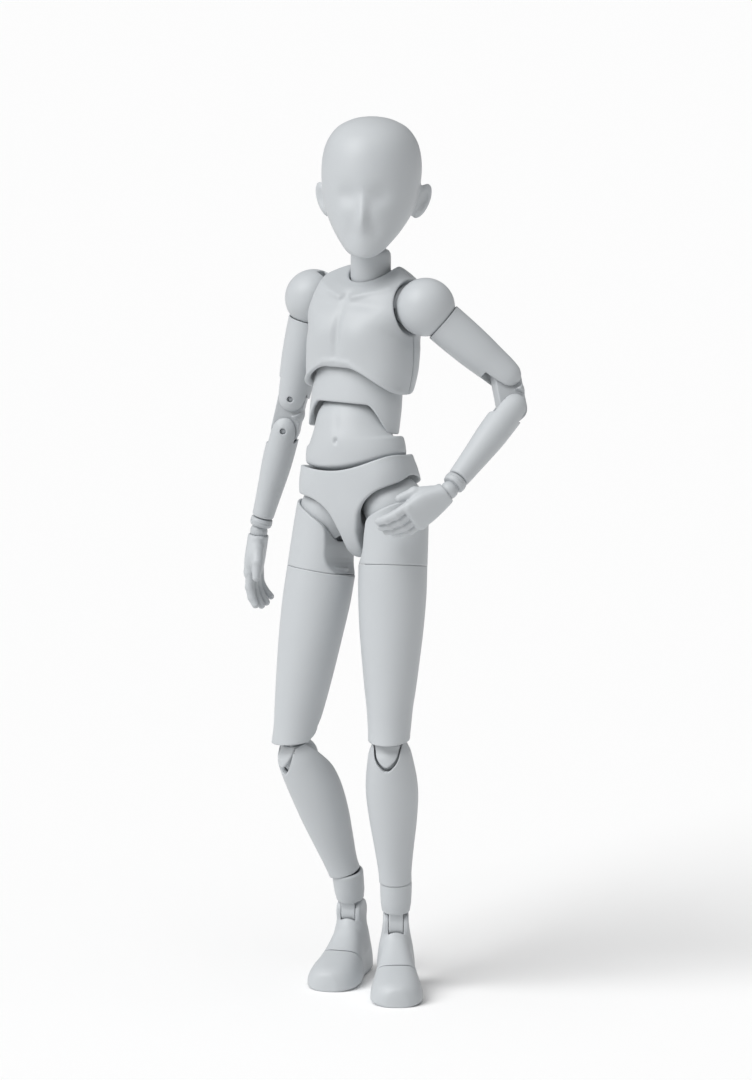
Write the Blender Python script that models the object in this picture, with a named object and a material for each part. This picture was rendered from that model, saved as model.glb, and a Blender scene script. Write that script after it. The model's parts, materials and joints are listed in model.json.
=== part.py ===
"""Posable drawing figure, standing with its left hand on its hip. Sizes are in millimetres.

Every form is drawn for the figure standing straight, feet on z = 0, facing -Y, its left side at +X.
The joints then turn the pieces into the rest pose.
"""

import math

import bpy
from mathutils import Matrix, Quaternion, Vector

MM = 0.001

# Joint centres of the straight figure. Limbs are given for the left side.
WAIST = (0, 0.3, 82.4)
SPINE = (0, 0.4, 88.0)
CHEST = (0, 0.4, 99.1)
NECK = (0, 0.8, 109.5)
HEAD = (0, 0.8, 117.5)
SHOULDER = (10.8, 0.8, 106.8)
ELBOW_UPPER = (10.8, 0.8, 91.0)
ELBOW_LOWER = (10.8, 0.8, 85.8)
WRIST = (10.8, 0.8, 69.0)
HIP = (5.6, 0, 75.5)
KNEE_UPPER = (5.6, 0.4, 42.7)
KNEE_LOWER = (5.6, 0.4, 37.7)
ANKLE = (5.6, 0.9, 14.8)
FOOT = (5.6, 0.9, 10.0)
TOE = (5.6, -6.6, 2.6)

# Radii of the balls, and the gap left round everything that turns.
GAP = 0.15
TRUNK_BALL = 2.2
HEAD_BALL = 2.2
NECK_BALL = 2.9
DELTOID = 4.4
SHOULDER_BALL = 1.4
WRIST_BALL = 1.0
HIP_BALL = 4.7
HIP_CUP = 5.25
ANKLE_BALL = 1.3
PIN = 0.55
BORE = 0.66

# Heights of the seams.
THIGH_SEAM = 66.5

# How far each joint is turned in the rest pose, in degrees.
TRUNK_POSE = {
    "waist_turn": 0,
    "waist_bend": -1.5,
    "spine_tilt": 10.5,
    "spine_bend": -4,
    "chest_turn": -8,
    "chest_bend": 2,
    "neck_lean": 7,
    "head_turn": 30,
    "head_nod": -5,
}
ARM_POSE = {
    "shoulder_swing": (42, 4.5),
    "shoulder_raise": (-38, 12.5),
    "arm_turn": (-11, -62),
    "elbow_upper": (-42, -1),
    "elbow_lower": (-47, -2),
    "wrist_turn": (33, 80),
    "wrist_bend": (24, -8),
}
LEG_POSE = {
    "hip_swing": (-4.8, -5.2),
    "hip_spread": (5.5, 14.5),
    "thigh_turn": (20, -26),
    "knee_upper": (8.5, 0),
    "knee_lower": (10.5, 0),
    "toe_bend": (0, 0),
}
FOOT_HEADING = (30, 12)
PELVIS_LEAN = -8.8
PELVIS_PITCH = -3.6
KNEE_SHARE = 0.45

JOIN = "UNION"
CUT = "DIFFERENCE"
KEEP = "INTERSECT"

SHELL = ((0.60, 0.62, 0.64, 1), 0.5)
INNER = ((0.46, 0.48, 0.50, 1), 0.45)
PINS = ((0.36, 0.38, 0.40, 1), 0.4)


def skin(rings):
    """A closed form through rings of points. A ring of one point closes an end to a tip."""
    points = []
    index = []
    for ring in rings:
        index.append(range(len(points), len(points) + len(ring)))
        points.extend(Vector(p) for p in ring)
    faces = []
    for low, high in zip(index, index[1:]):
        count = max(len(low), len(high))
        for i in range(count):
            j = (i + 1) % count
            if len(low) == 1:
                faces.append((low[0], high[j], high[i]))
            elif len(high) == 1:
                faces.append((low[i], low[j], high[0]))
            else:
                faces.append((low[i], low[j], high[j], high[i]))
    if len(index[0]) > 1:
        faces.append(tuple(reversed(index[0])))
    if len(index[-1]) > 1:
        faces.append(tuple(index[-1]))
    volume = 0
    for face in faces:
        for a, b in zip(face[1:], face[2:]):
            volume += points[face[0]].dot(points[a].cross(points[b]))
    if volume < 0:
        faces = [tuple(reversed(face)) for face in faces]
    return points, faces


def lathe(profile, centre, axis="Z", sides=18):
    """Turns (distance along the axis, radius) pairs about an axis through the centre."""
    shift = "XYZ".index(axis)
    rings = []
    for along, radius in profile:
        ring = []
        for i in range(sides if radius > 0 else 1):
            turn = 2 * math.pi * (i + 0.5) / sides
            local = (radius * math.cos(turn), radius * math.sin(turn), along)
            ring.append([centre[k] + local[(k - shift - 1) % 3] for k in range(3)])
        rings.append(ring)
    return skin(rings)


def arc(radius, start, end, steps):
    """(distance, radius) pairs on a circle, from the angle start to end in degrees off the axis."""
    pairs = []
    for i in range(steps + 1):
        turn = math.radians(start + (end - start) * i / steps)
        pairs.append((radius * math.cos(turn), max(0, round(radius * math.sin(turn), 6))))
    return pairs


def ball(centre, radius, sides=16, bands=9):
    return lathe(arc(radius, 180, 0, bands), centre, "Z", sides)


def socket(centre, radius, sides=16, bands=9):
    """A ball to cut with: its flat faces, not its corners, are at the radius."""
    flat = math.cos(math.pi / sides) * math.cos(math.pi / (2 * bands))
    return ball(centre, radius / flat, sides, bands)


def rod(centre, axis, low, high, radius, sides=8):
    """A round bar along an axis, its ends measured from the centre."""
    return lathe([(low, radius), (high, radius)], centre, axis, sides)


def block(low, high):
    x0, y0, z0 = low
    x1, y1, z1 = high
    return skin([[(x0, y0, z), (x1, y0, z), (x1, y1, z), (x0, y1, z)] for z in (z0, z1)])


def prism(outline, axis, low, high):
    """Carries an outline along X or Y. The outline is in (y, z) for X and in (x, z) for Y."""
    if axis == "X":
        return skin([[(x, a, b) for a, b in outline] for x in (low, high)])
    return skin([[(a, y, b) for a, b in outline] for y in (low, high)])


def fan(centre, radius, start, end, half_width, steps=8):
    """A wedge in the XZ plane between two angles, measured upwards from the inward direction."""
    outline = [(centre[0], centre[2])]
    for i in range(steps + 1):
        turn = math.radians(start + (end - start) * i / steps)
        outline.append((centre[0] - radius * math.cos(turn), centre[2] + radius * math.sin(turn)))
    return prism(outline, "Y", centre[1] - half_width, centre[1] + half_width)


def blended(rows, steps):
    """Rows of numbers with further rows between them on a smooth curve."""
    result = []
    last = len(rows) - 1
    for i in range(last):
        a, b, c, d = (rows[min(max(i + k, 0), last)] for k in (-1, 0, 1, 2))
        for step in range(steps):
            t = step / steps
            row = []
            for p, q, r, s in zip(a, b, c, d):
                slope = r - p
                cube = 3 * (q - r) + s - p
                row.append(q + 0.5 * t * (slope + t * (2 * p - 5 * q + 4 * r - s + t * cube)))
            result.append(row)
    result.append(list(rows[last]))
    return result


def hull(stations, x=0, sides=20, steps=1, power=2):
    """A form from (height, half width, front y, back y) stations; a higher power is boxier."""
    rings = []
    for z, half, front, back in blended(stations, steps):
        ring = []
        for i in range(sides):
            turn = 2 * math.pi * (i + 0.5) / sides
            across = math.copysign(abs(math.cos(turn)) ** (2 / power), math.cos(turn))
            along = math.copysign(abs(math.sin(turn)) ** (2 / power), math.sin(turn))
            y = (front + back) / 2 + (back - front) / 2 * along
            ring.append((x + half * across, y, z))
        rings.append(ring)
    return skin(rings)


def limb(path, radii, sides=6):
    """A finger-like form along a path, with rounded ends."""
    path = [Vector(p) for p in path]
    rings = []
    for i, point in enumerate(path):
        along = (path[min(i + 1, len(path) - 1)] - path[max(i - 1, 0)]).normalized()
        across = along.cross(Vector((1, 0, 0))).normalized()
        other = along.cross(across)
        marks = [(0, 1)]
        if i == 0:
            marks = [(-0.7, 0.7), (0, 1)]
        if i == len(path) - 1:
            marks = [(0, 1), (0.7, 0.7)]
        for shift, share in marks:
            ring = []
            for k in range(sides):
                turn = 2 * math.pi * (k + 0.5) / sides
                arm = across * math.cos(turn) + other * math.sin(turn)
                ring.append(point + (arm * share + along * shift) * radii[i])
            rings.append(ring)
    start = (path[0] - path[1]).normalized()
    end = (path[-1] - path[-2]).normalized()
    return skin([[path[0] + start * radii[0]], *rings, [path[-1] + end * radii[-1]]])


def scaled(form, centre, factors):
    """The form stretched about a centre."""
    points, faces = form
    middle = Vector(centre)
    stretched = [middle + Vector(f * d for f, d in zip(factors, p - middle)) for p in points]
    return stretched, faces


def mirrored(form):
    points, faces = form
    flipped = [Vector((-p.x, p.y, p.z)) for p in points]
    return flipped, [tuple(reversed(face)) for face in faces]


class Joint:
    """A turning joint of the straight figure, with the angle of its rest pose."""

    def __init__(self, parent, at, axis, angle):
        self.parent = parent
        self.at = Vector(at)
        self.axis = axis
        self.angle = angle
        self.empty = None

    def turn(self):
        """The rotation of this joint and all above it."""
        own = Matrix.Rotation(math.radians(self.angle), 3, self.axis)
        return self.parent.turn() @ own if self.parent else own

    def place(self):
        """Where the joint sits once all above it are turned."""
        if not self.parent:
            return self.at.copy()
        return self.parent.place() + self.parent.turn() @ (self.at - self.parent.at)

    def make_empty(self, name):
        self.empty = bpy.data.objects.new("axis_" + name, None)
        bpy.context.collection.objects.link(self.empty)
        self.empty.empty_display_size = 0.003
        self.empty.rotation_mode = "QUATERNION"
        letter = Vector([float(self.axis == k) for k in "XYZ"])
        self.empty.rotation_quaternion = Quaternion(letter, math.radians(self.angle))
        self.empty.location = self.at * MM
        if self.parent:
            self.empty.parent = self.parent.empty
            self.empty.location = (self.at - self.parent.at) * MM


def side_at(point, side):
    return (point[0] * (1 if side == "left" else -1), point[1], point[2])


def add_chain(joints, start, rows):
    """Adds joints one below the other. A row is (name, place, axis, angle)."""
    above = start
    for name, at, axis, angle in rows:
        joints[name] = Joint(joints[above], at, axis, angle)
        above = name


def make_joints():
    joints = {"pelvis_lean": Joint(None, (0, 0, 77), "Y", PELVIS_LEAN)}
    add_chain(joints, "pelvis_lean", [("pelvis", (0, 0, 77), "X", PELVIS_PITCH)])
    trunk = [
        ("waist_turn", WAIST, "Z"),
        ("waist_bend", WAIST, "X"),
        ("spine_tilt", SPINE, "Y"),
        ("spine_bend", SPINE, "X"),
        ("chest_turn", CHEST, "Z"),
        ("chest_bend", CHEST, "X"),
    ]
    neck = [("neck_lean", NECK, "X"), ("head_turn", HEAD, "Z"), ("head_nod", HEAD, "X")]
    add_chain(joints, "pelvis", [(*row, TRUNK_POSE[row[0]]) for row in trunk])
    add_chain(joints, "chest_bend", [(*row, TRUNK_POSE[row[0]]) for row in neck])
    arm = [
        ("shoulder_swing", SHOULDER, "X"),
        ("shoulder_raise", SHOULDER, "Y"),
        ("arm_turn", SHOULDER, "Z"),
        ("elbow_upper", ELBOW_UPPER, "X"),
        ("elbow_lower", ELBOW_LOWER, "X"),
        ("wrist_turn", WRIST, "Z"),
        ("wrist_bend", WRIST, "Y"),
    ]
    leg = [
        ("hip_swing", HIP, "X"),
        ("hip_spread", HIP, "Y"),
        ("thigh_turn", HIP, "Z"),
        ("knee_upper", KNEE_UPPER, "X"),
        ("knee_lower", KNEE_LOWER, "X"),
        ("ankle_turn", ANKLE, "Z"),
        ("ankle_tilt", ANKLE, "Y"),
        ("foot_pitch", FOOT, "X"),
        ("toe_bend", TOE, "X"),
    ]
    for number, side in enumerate(("left", "right")):
        rows = []
        for name, at, axis in arm:
            rows.append((f"{name}_{side}", side_at(at, side), axis, ARM_POSE[name][number]))
        add_chain(joints, "chest_bend", rows)
        rows = []
        for name, at, axis in leg:
            angle = LEG_POSE[name][number] if name in LEG_POSE else 0
            rows.append((f"{name}_{side}", side_at(at, side), axis, angle))
        add_chain(joints, "pelvis", rows)
    return joints


def level_feet(joints):
    """Turns both ankles until each sole is level and heads the way it should."""
    for side, heading in zip(("left", "right"), FOOT_HEADING):
        above = joints["knee_lower_" + side].turn()
        wanted = above.inverted() @ Matrix.Rotation(math.radians(heading), 3, "Z")
        turns = wanted.to_euler("XYZ")
        joints["foot_pitch_" + side].angle = math.degrees(turns.x)
        joints["ankle_tilt_" + side].angle = math.degrees(turns.y)
        joints["ankle_turn_" + side].angle = math.degrees(turns.z)


def stand(joints):
    """Bends the right knee until both soles are on one floor, and returns the lift to z = 0."""
    low, high = 0.0, 80.0
    for _ in range(40):
        bend = (low + high) / 2
        joints["knee_upper_right"].angle = bend * KNEE_SHARE
        joints["knee_lower_right"].angle = bend * (1 - KNEE_SHARE)
        level_feet(joints)
        left = joints["foot_pitch_left"].place().z
        right = joints["foot_pitch_right"].place().z
        if right < left:
            low = bend
        else:
            high = bend
    return FOOT[2] - left


def finish(name, colour, roughness):
    material = bpy.data.materials.new(name + "_plastic")
    material.use_nodes = True
    shader = material.node_tree.nodes["Principled BSDF"]
    shader.inputs["Base Color"].default_value = colour
    shader.inputs["Roughness"].default_value = roughness
    shader.inputs["Metallic"].default_value = 0
    return material


def add_mesh(name, form, joint):
    """A mesh object that hangs on a joint's empty."""
    points, faces = form
    mesh = bpy.data.meshes.new(name)
    mesh.from_pydata([(p - joint.at) * MM for p in points], [], faces)
    mesh.shade_smooth()
    mesh.set_sharp_from_angle(angle=math.radians(40))
    shape = bpy.data.objects.new(name, mesh)
    bpy.context.collection.objects.link(shape)
    shape.parent = joint.empty
    return shape


class Maker:
    """Makes the pieces of one side, or of the trunk, on their joints."""

    def __init__(self, joints, side=None):
        self.joints = joints
        self.side = side

    def piece(self, name, joint, form, steps=(), look=SHELL):
        """One piece: a form and, in order, the forms joined to it, cut out of it or kept of it."""
        if self.side:
            name = f"{name}_{self.side}"
            joint = f"{joint}_{self.side}"
        if self.side == "right":
            form = mirrored(form)
            steps = [(kind, mirrored(tool)) for kind, tool in steps]
        shape = add_mesh(name, form, self.joints[joint])
        shape.data.materials.append(finish(name, *look))
        for number, (kind, tool) in enumerate(steps):
            helper = add_mesh(f"{name}_tool_{number}", tool, self.joints[joint])
            helper.hide_render = True
            helper.display_type = "WIRE"
            change = shape.modifiers.new(kind.lower(), "BOOLEAN")
            change.operation = kind
            change.solver = "EXACT"
            change.object = helper


def arch(flat, end, power, height, depth, count=6):
    """Points (x, height) of an edge that is flat in the middle and bends away on both sides."""
    pairs = []
    for i in range(-count, count + 1):
        x = end * i / count
        pairs.append((x, height + depth * (max(0, abs(x) - flat) / (end - flat)) ** power))
    return pairs


def below(edge, floor=60):
    return edge + [(edge[-1][0], floor), (edge[0][0], floor)]


def face_depth(x, z):
    """How far the face stands out at a place: nose, eye hollows, lips and chin."""

    def hill(at_x, at_z, wide, tall):
        return math.exp(-(((x - at_x) / wide) ** 2) - ((z - at_z) / tall) ** 2)

    depth = 0.95 * hill(0, 118.9, 0.9, 1.3) + 0.45 * hill(0, 121.0, 0.8, 1.5)
    depth -= 0.75 * (hill(2.9, 121.4, 1.7, 1.1) + hill(-2.9, 121.4, 1.7, 1.1))
    depth += 0.25 * hill(0, 116.2, 1.6, 0.7) + 0.3 * hill(0, 114.3, 1.5, 0.7)
    depth -= 0.25 * hill(0, 115.2, 2.0, 0.4)
    return depth


def head_form():
    stations = [
        (113.6, 1.2, -8.0, -5.6),
        (114.3, 2.2, -8.4, -3.8),
        (115.6, 3.3, -8.5, -1.6),
        (117.5, 4.8, -8.6, 1.4),
        (119.5, 6.0, -8.6, 4.3),
        (121.5, 6.9, -8.6, 6.5),
        (124.0, 7.45, -8.6, 8.2),
        (127.0, 7.7, -8.4, 9.0),
        (129.5, 7.45, -7.9, 8.8),
        (131.5, 6.75, -6.9, 7.9),
        (133.2, 5.3, -5.2, 6.3),
        (134.4, 3.3, -3.1, 4.1),
        (134.9, 1.6, -1.4, 2.2),
    ]
    points, faces = hull(stations, sides=28)
    for p in points:
        if p.y < -2:
            p.y -= face_depth(p.x, p.z) * min(1, (-2 - p.y) / 3)
    return points, faces


def make_head(maker):
    hollow = arc(HEAD_BALL + 0.25, 0, 120, 6) + [(-5.5, 9.3)]
    middle = (7.7, 1.8, 122.3)
    ear = scaled(ball(middle, 1, 10, 6), middle, (1.15, 1.4, 2.6))
    steps = [(JOIN, ear), (JOIN, mirrored(ear)), (CUT, lathe(hollow, HEAD, "Z", 14))]
    maker.piece("head", "head_nod", head_form(), steps)
    stem = [(-6.0, 0.95), (-2.0, 0.95)] + arc(HEAD_BALL, 150, 0, 6)
    maker.piece("head_joint", "head_turn", lathe(stem, HEAD, "Z", 12), look=INNER)
    column = arc(NECK_BALL, 180, 80, 4) + [(1.4, 3.05), (4.2, 3.05), (5.9, 1.3)]
    bore = rod(NECK, "Z", 1.6, 8, 1.1)
    maker.piece("neck", "neck_lean", lathe(column, NECK, "Z", 18), [(CUT, bore)])


def make_chest(maker):
    stations = [
        (91.5, 8.2, -5.7, 5.7),
        (94.0, 8.55, -5.9, 6.3),
        (97.0, 8.85, -6.2, 6.9),
        (100.0, 8.75, -6.6, 7.2),
        (102.3, 8.5, -6.7, 7.2),
        (104.5, 9.3, -6.2, 6.9),
        (107.0, 9.5, -5.1, 6.4),
        (109.3, 8.3, -3.8, 5.6),
        (111.0, 6.0, -2.9, 5.0),
        (112.4, 4.2, -2.5, 4.4),
    ]
    hollow = [
        (88.0, 7.6, -5.2, 5.0),
        (95.0, 7.75, -5.5, 5.3),
        (98.0, 7.7, -5.5, 5.3),
        (100.5, 6.8, -4.7, 4.7),
        (102.3, 4.6, -3.3, 3.5),
    ]
    collar = arc(NECK_BALL + 0.25, 180, 90, 4) + [(1.0, 3.35), (4.5, 4.3)]
    armhole = socket(SHOULDER, 5.0, 16, 8)
    peg = rod(SHOULDER, "X", -7.4, 0, 1.4, 10)
    steps = [
        (CUT, hull(hollow, sides=16, power=2.4)),
        (JOIN, rod(CHEST, "Z", 0.4, 4.5, 3.1, 12)),
        (CUT, socket(CHEST, TRUNK_BALL + GAP, 12, 6)),
        (CUT, prism(below(arch(2.0, 9.8, 1.7, 96.7, -5.0), 80), "Y", -9, 9)),
        (CUT, lathe(collar, NECK, "Z", 16)),
        (CUT, armhole),
        (CUT, mirrored(armhole)),
        (CUT, peg),
        (CUT, mirrored(peg)),
    ]
    split = 1.5
    front = block((-12, split, 85), (12, 12, 116))
    back = block((-12, -12, 85), (12, split + 0.12, 116))
    form = hull(stations, sides=22, power=2.5)
    maker.piece("chest_front", "chest_bend", form, [*steps, (CUT, front)])
    maker.piece("chest_back", "chest_bend", form, [*steps, (CUT, back)])
    maker.piece("chest_ball", "chest_turn", ball(CHEST, TRUNK_BALL, 12, 6), look=INNER)


def make_middle(maker):
    band = [
        (86.0, 7.3, -5.1, 4.9),
        (89.0, 7.4, -5.3, 5.0),
        (92.0, 7.4, -5.35, 5.0),
        (95.0, 7.1, -5.1, 4.85),
        (97.0, 6.7, -4.75, 4.5),
        (98.2, 5.9, -3.9, 3.9),
        (98.7, 4.6, -3.0, 3.3),
    ]
    hollow = [
        (80.0, 6.6, -4.85, 4.6),
        (88.0, 6.65, -4.9, 4.6),
        (91.5, 6.35, -4.7, 4.4),
        (93.5, 5.6, -3.9, 3.8),
        (94.6, 3.8, -2.6, 2.6),
    ]
    steps = [
        (CUT, hull(hollow, sides=18)),
        (JOIN, rod(SPINE, "Z", 0.9, 7, 2.9, 12)),
        (CUT, socket(SPINE, TRUNK_BALL + GAP, 12, 6)),
        (CUT, socket(CHEST, TRUNK_BALL + GAP, 12, 6)),
        (CUT, prism(below(arch(4.2, 7.2, 1.6, 91.3, -5.2)), "Y", -9, 9)),
        (CUT, block((-12, -12, 80), (12, 12, 87.4))),
    ]
    maker.piece("mid_torso", "spine_bend", hull(band, sides=22), steps)
    maker.piece("spine_ball", "spine_tilt", ball(SPINE, TRUNK_BALL, 12, 6), look=INNER)
    ring = [
        (80.0, 7.3, -5.4, 5.0),
        (82.5, 8.0, -5.8, 5.4),
        (84.2, 8.1, -5.85, 5.45),
        (85.8, 7.9, -5.7, 5.25),
    ]
    dome = [
        (80.5, 5.9, -5.6, 5.2),
        (84.0, 6.0, -6.0, 5.3),
        (86.0, 6.0, -5.9, 5.1),
        (88.0, 5.95, -5.4, 4.75),
        (90.0, 5.5, -4.85, 4.4),
        (91.2, 4.9, -4.3, 3.9),
        (92.4, 3.9, -3.3, 3.1),
    ]
    bowl = [(-0.5, 3.3), (0.3, 3.5), (5.5, 4.1)]
    steps = [
        (JOIN, hull(dome, sides=20)),
        (CUT, lathe(bowl, SPINE, "Z", 12)),
        (CUT, socket(SPINE, TRUNK_BALL + GAP, 12, 6)),
        (CUT, socket(WAIST, TRUNK_BALL + GAP, 12, 6)),
        (CUT, prism(below(arch(0, 9.5, 2, 82.0, 1.6)), "Y", -9, 9)),
    ]
    maker.piece("belly", "waist_bend", hull(ring, sides=22), steps)
    maker.piece("waist_ball", "waist_turn", ball(WAIST, TRUNK_BALL, 12, 6), look=INNER)


def make_pelvis(maker):
    stations = [
        (68.2, 0.8, -2.4, 2.4),
        (69.6, 2.6, -3.9, 3.7),
        (72.0, 6.0, -5.1, 5.2),
        (75.0, 8.7, -5.9, 6.1),
        (78.0, 9.4, -6.1, 6.2),
        (80.5, 9.2, -6.1, 5.9),
        (82.5, 8.7, -6.0, 5.6),
        (84.5, 8.3, -5.9, 5.4),
    ]
    cavity = lathe(arc(HIP_CUP + 0.28, 158, 0, 8), HIP, "X", 20)
    opening = [(0.9, 55), (0.9, 68.5), (2.3, 72.6), (5.2, 75.3), (9.7, 77.4), (14, 78.7), (14, 55)]
    opening = prism(opening, "Y", -9, 9)
    top = arch(0, 12, 2, 81.4, 2.55) + [(12, 95), (-12, 95)]
    steps = [
        (CUT, prism(top, "Y", -9, 9)),
        (CUT, socket(WAIST, TRUNK_BALL + GAP, 12, 6)),
        (CUT, cavity),
        (CUT, mirrored(cavity)),
        (CUT, opening),
        (CUT, mirrored(opening)),
        (CUT, rod((0, 0, HIP[2]), "X", -3, 3, 1.15, 10)),
    ]
    form = hull(stations, sides=26, power=2.8)
    maker.piece("pelvis", "pelvis", form, steps)
    axle = rod((0, 0, HIP[2]), "X", -3.3, 3.3, 1, 12)
    maker.piece("hip_axle", "pelvis", axle, look=PINS)


def make_arm(maker):
    x, y, z = SHOULDER
    peg = [(-7.2, 1.2)] + arc(4.87, 165, 138, 2) + arc(DELTOID + 0.26, 138, 180, 3)
    stem = rod(SHOULDER, "X", -4.75, -0.8, 0.7)
    steps = [(JOIN, stem), (JOIN, ball(SHOULDER, SHOULDER_BALL, 10, 6))]
    hub = lathe(peg, SHOULDER, "X", 16)
    maker.piece("shoulder_hub", "shoulder_swing", hub, steps, look=INNER)
    steps = [
        (JOIN, rod(SHOULDER, "Z", -7.6, -3, 0.95)),
        (CUT, socket(SHOULDER, SHOULDER_BALL + 0.15, 10, 6)),
        (CUT, fan(SHOULDER, 6, -16, 86, 0.9, 4)),
    ]
    maker.piece("deltoid", "shoulder_raise", ball(SHOULDER, DELTOID, 16, 9), steps)
    upper = [
        (88.6, 0.7, 0.1, 1.5),
        (89.0, 1.5, -0.7, 2.3),
        (89.8, 2.15, -1.35, 2.95),
        (91.0, 2.5, -1.7, 3.3),
        (94.0, 2.7, -1.95, 3.55),
        (97.0, 2.95, -2.2, 3.8),
        (100.5, 3.15, -2.4, 4.0),
        (103.9, 3.2, -2.45, 4.05),
    ]
    steps = [
        (CUT, socket(SHOULDER, DELTOID + GAP, 14, 9)),
        (CUT, rod(SHOULDER, "Z", -8, -3, 1.15)),
        *slot_for_link(ELBOW_UPPER, -1, 2.7),
    ]
    maker.piece("upper_arm", "arm_turn", hull(upper, x, 14), steps)
    lower = [
        (71.4, 1.5, -0.7, 2.3),
        (74.0, 1.75, -0.95, 2.6),
        (77.0, 2.05, -1.25, 2.9),
        (80.0, 2.3, -1.5, 3.1),
        (83.0, 2.4, -1.6, 3.2),
        (85.8, 2.4, -1.6, 3.2),
        (87.0, 2.1, -1.3, 2.9),
        (87.8, 1.5, -0.7, 2.3),
        (88.2, 0.7, 0.1, 1.5),
    ]
    steps = [(CUT, rod(WRIST, "Z", 2, 5.6, 0.9)), *slot_for_link(ELBOW_LOWER, 1, 2.7)]
    maker.piece("forearm", "elbow_lower", hull(lower, x, 14), steps)
    link = block((x - 1.05, y - 2.15, ELBOW_LOWER[2]), (x + 1.05, y + 2.15, ELBOW_UPPER[2]))
    steps = []
    for centre in (ELBOW_UPPER, ELBOW_LOWER):
        steps.append((JOIN, rod(centre, "X", -1.06, 1.06, 2.17, 14)))
    for centre in (ELBOW_UPPER, ELBOW_LOWER):
        steps.append((CUT, rod(centre, "X", -3, 3, BORE)))
    maker.piece("elbow_block", "elbow_upper", link, steps, look=INNER)
    pin = rod(ELBOW_UPPER, "X", -2.3, 2.3, PIN)
    maker.piece("elbow_upper_pin", "arm_turn", pin, look=PINS)
    pin = rod(ELBOW_LOWER, "X", -2.2, 2.2, PIN)
    maker.piece("elbow_lower_pin", "elbow_lower", pin, look=PINS)
    cuff = arc(WRIST_BALL, 180, 37, 4)
    cuff += [(0.9, 0.6), (0.95, 1.5), (1.6, 1.65), (2.2, 1.5), (2.25, 0.75), (5.2, 0.75)]
    maker.piece("wrist_joint", "wrist_turn", lathe(cuff, WRIST, "Z", 12), look=INNER)


def slot_for_link(centre, end, depth):
    """Cuts for an elbow link: the slot, its deeper front for bending and the pin's bore."""
    x, y, z = centre
    tall = sorted((z, z + 6 * end))
    deep = sorted((z - depth * end, z + 6 * end))
    return [
        (CUT, rod(centre, "X", -1.25, 1.25, 2.4, 12)),
        (CUT, block((x - 1.25, y - 5, tall[0]), (x + 1.25, y + 5, tall[1]))),
        (CUT, block((x - 1.25, y - 5, deep[0]), (x + 1.25, y - 0.4, deep[1]))),
        (CUT, rod(centre, "X", -4, 4, BORE)),
    ]


def make_hand(maker):
    x = WRIST[0]
    palm = [
        (61.7, 0.9, -1.8, 3.1),
        (62.8, 1.15, -2.0, 3.3),
        (65.0, 1.35, -2.0, 3.2),
        (67.4, 1.25, -1.3, 2.8),
        (69.1, 0.95, -0.5, 2.1),
    ]
    fingers = [
        (-1.25, -0.2, 4.7, 0.70),
        (0.05, 0.6, 5.0, 0.72),
        (1.35, 1.0, 4.6, 0.70),
        (2.6, 1.2, 3.8, 0.62),
    ]
    steps = []
    for y, curl, length, radius in fingers:
        path = [
            (x, y, 63.0),
            (x - 0.1 - 0.1 * curl, y, 62.3 - 0.4 * length),
            (x - 0.4 - 0.6 * curl, y, 62.3 - 0.75 * length),
            (x - 0.8 - 1.3 * curl, y, 62.3 - length),
        ]
        steps.append((JOIN, limb(path, [radius, radius, 0.95 * radius, 0.85 * radius])))
    thumb = [(x - 0.4, -0.8, 66.6), (x - 1.0, -2.3, 64.6), (x - 1.4, -3.0, 62.3)]
    steps.append((JOIN, limb(thumb, [0.95, 0.85, 0.68])))
    cup = arc(WRIST_BALL + 0.2, 180, 70, 4) + [(2.5, 3.2)]
    steps.append((CUT, lathe(cup, WRIST, "Z", 10)))
    maker.piece("hand", "wrist_bend", hull(palm, x, 14, 1, 2.4), steps)


def make_hip(maker):
    x, y, z = HIP
    steps = [
        (CUT, rod(HIP, "X", -6, -2.1, 1.15, 10)),
        (CUT, block((x - 1.95, -1.2, z - 6), (x + 6, 1.2, z + 1.9))),
        (CUT, block((x - 3.4, -1.2, z - 6), (x, 1.2, z - 2.1))),
        (CUT, rod(HIP, "Y", -6, 6, BORE)),
    ]
    maker.piece("hip_ball", "hip_swing", ball(HIP, HIP_BALL, 16, 9), steps)
    pin = rod(HIP, "Y", -4.3, 4.3, PIN)
    maker.piece("hip_pin", "hip_swing", pin, look=PINS)
    cup = [(THIGH_SEAM + 0.15, 5.2, -5.2, 5.25), (70.0, 5.25, -5.25, 5.25)]
    cup += [(z, HIP_CUP, -HIP_CUP, HIP_CUP)]
    for turn in (68, 48, 28):
        radius = HIP_CUP * math.sin(math.radians(turn))
        cup.append((z + HIP_CUP * math.cos(math.radians(turn)), radius, -radius, radius))
    rim = [(-2, 63.8), (14, 80.6), (14, 95), (-2, 95)]
    steps = [
        (CUT, socket(HIP, HIP_BALL + 0.08, 18, 9)),
        (CUT, prism(rim, "Y", -9, 9)),
        (JOIN, block((x - 1.5, -1, 68.5), (x + 1.5, 1, z))),
        (JOIN, rod(HIP, "Y", -1, 1, 1.7, 12)),
        (JOIN, rod(HIP, "Z", -10.2, -8, 4.1, 14)),
        (JOIN, rod(HIP, "Z", -13, -9.5, 1.5, 10)),
        (CUT, rod(HIP, "Y", -3, 3, BORE)),
    ]
    maker.piece("thigh_top", "hip_spread", hull(cup, x, 18), steps)


def spindle(centre, middle, edge, half_width, sides=14):
    """A link end that is thickest in the middle, so that it turns freely about its pin."""
    curve = 0.3 * middle + 0.7 * edge
    curve = (0.62 * half_width, curve + 0.32 * (middle - edge))
    profile = [(-half_width, edge), (-curve[0], curve[1]), (0, middle)]
    profile += [curve, (half_width, edge)]
    return lathe(profile, centre, "X", sides)


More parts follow.
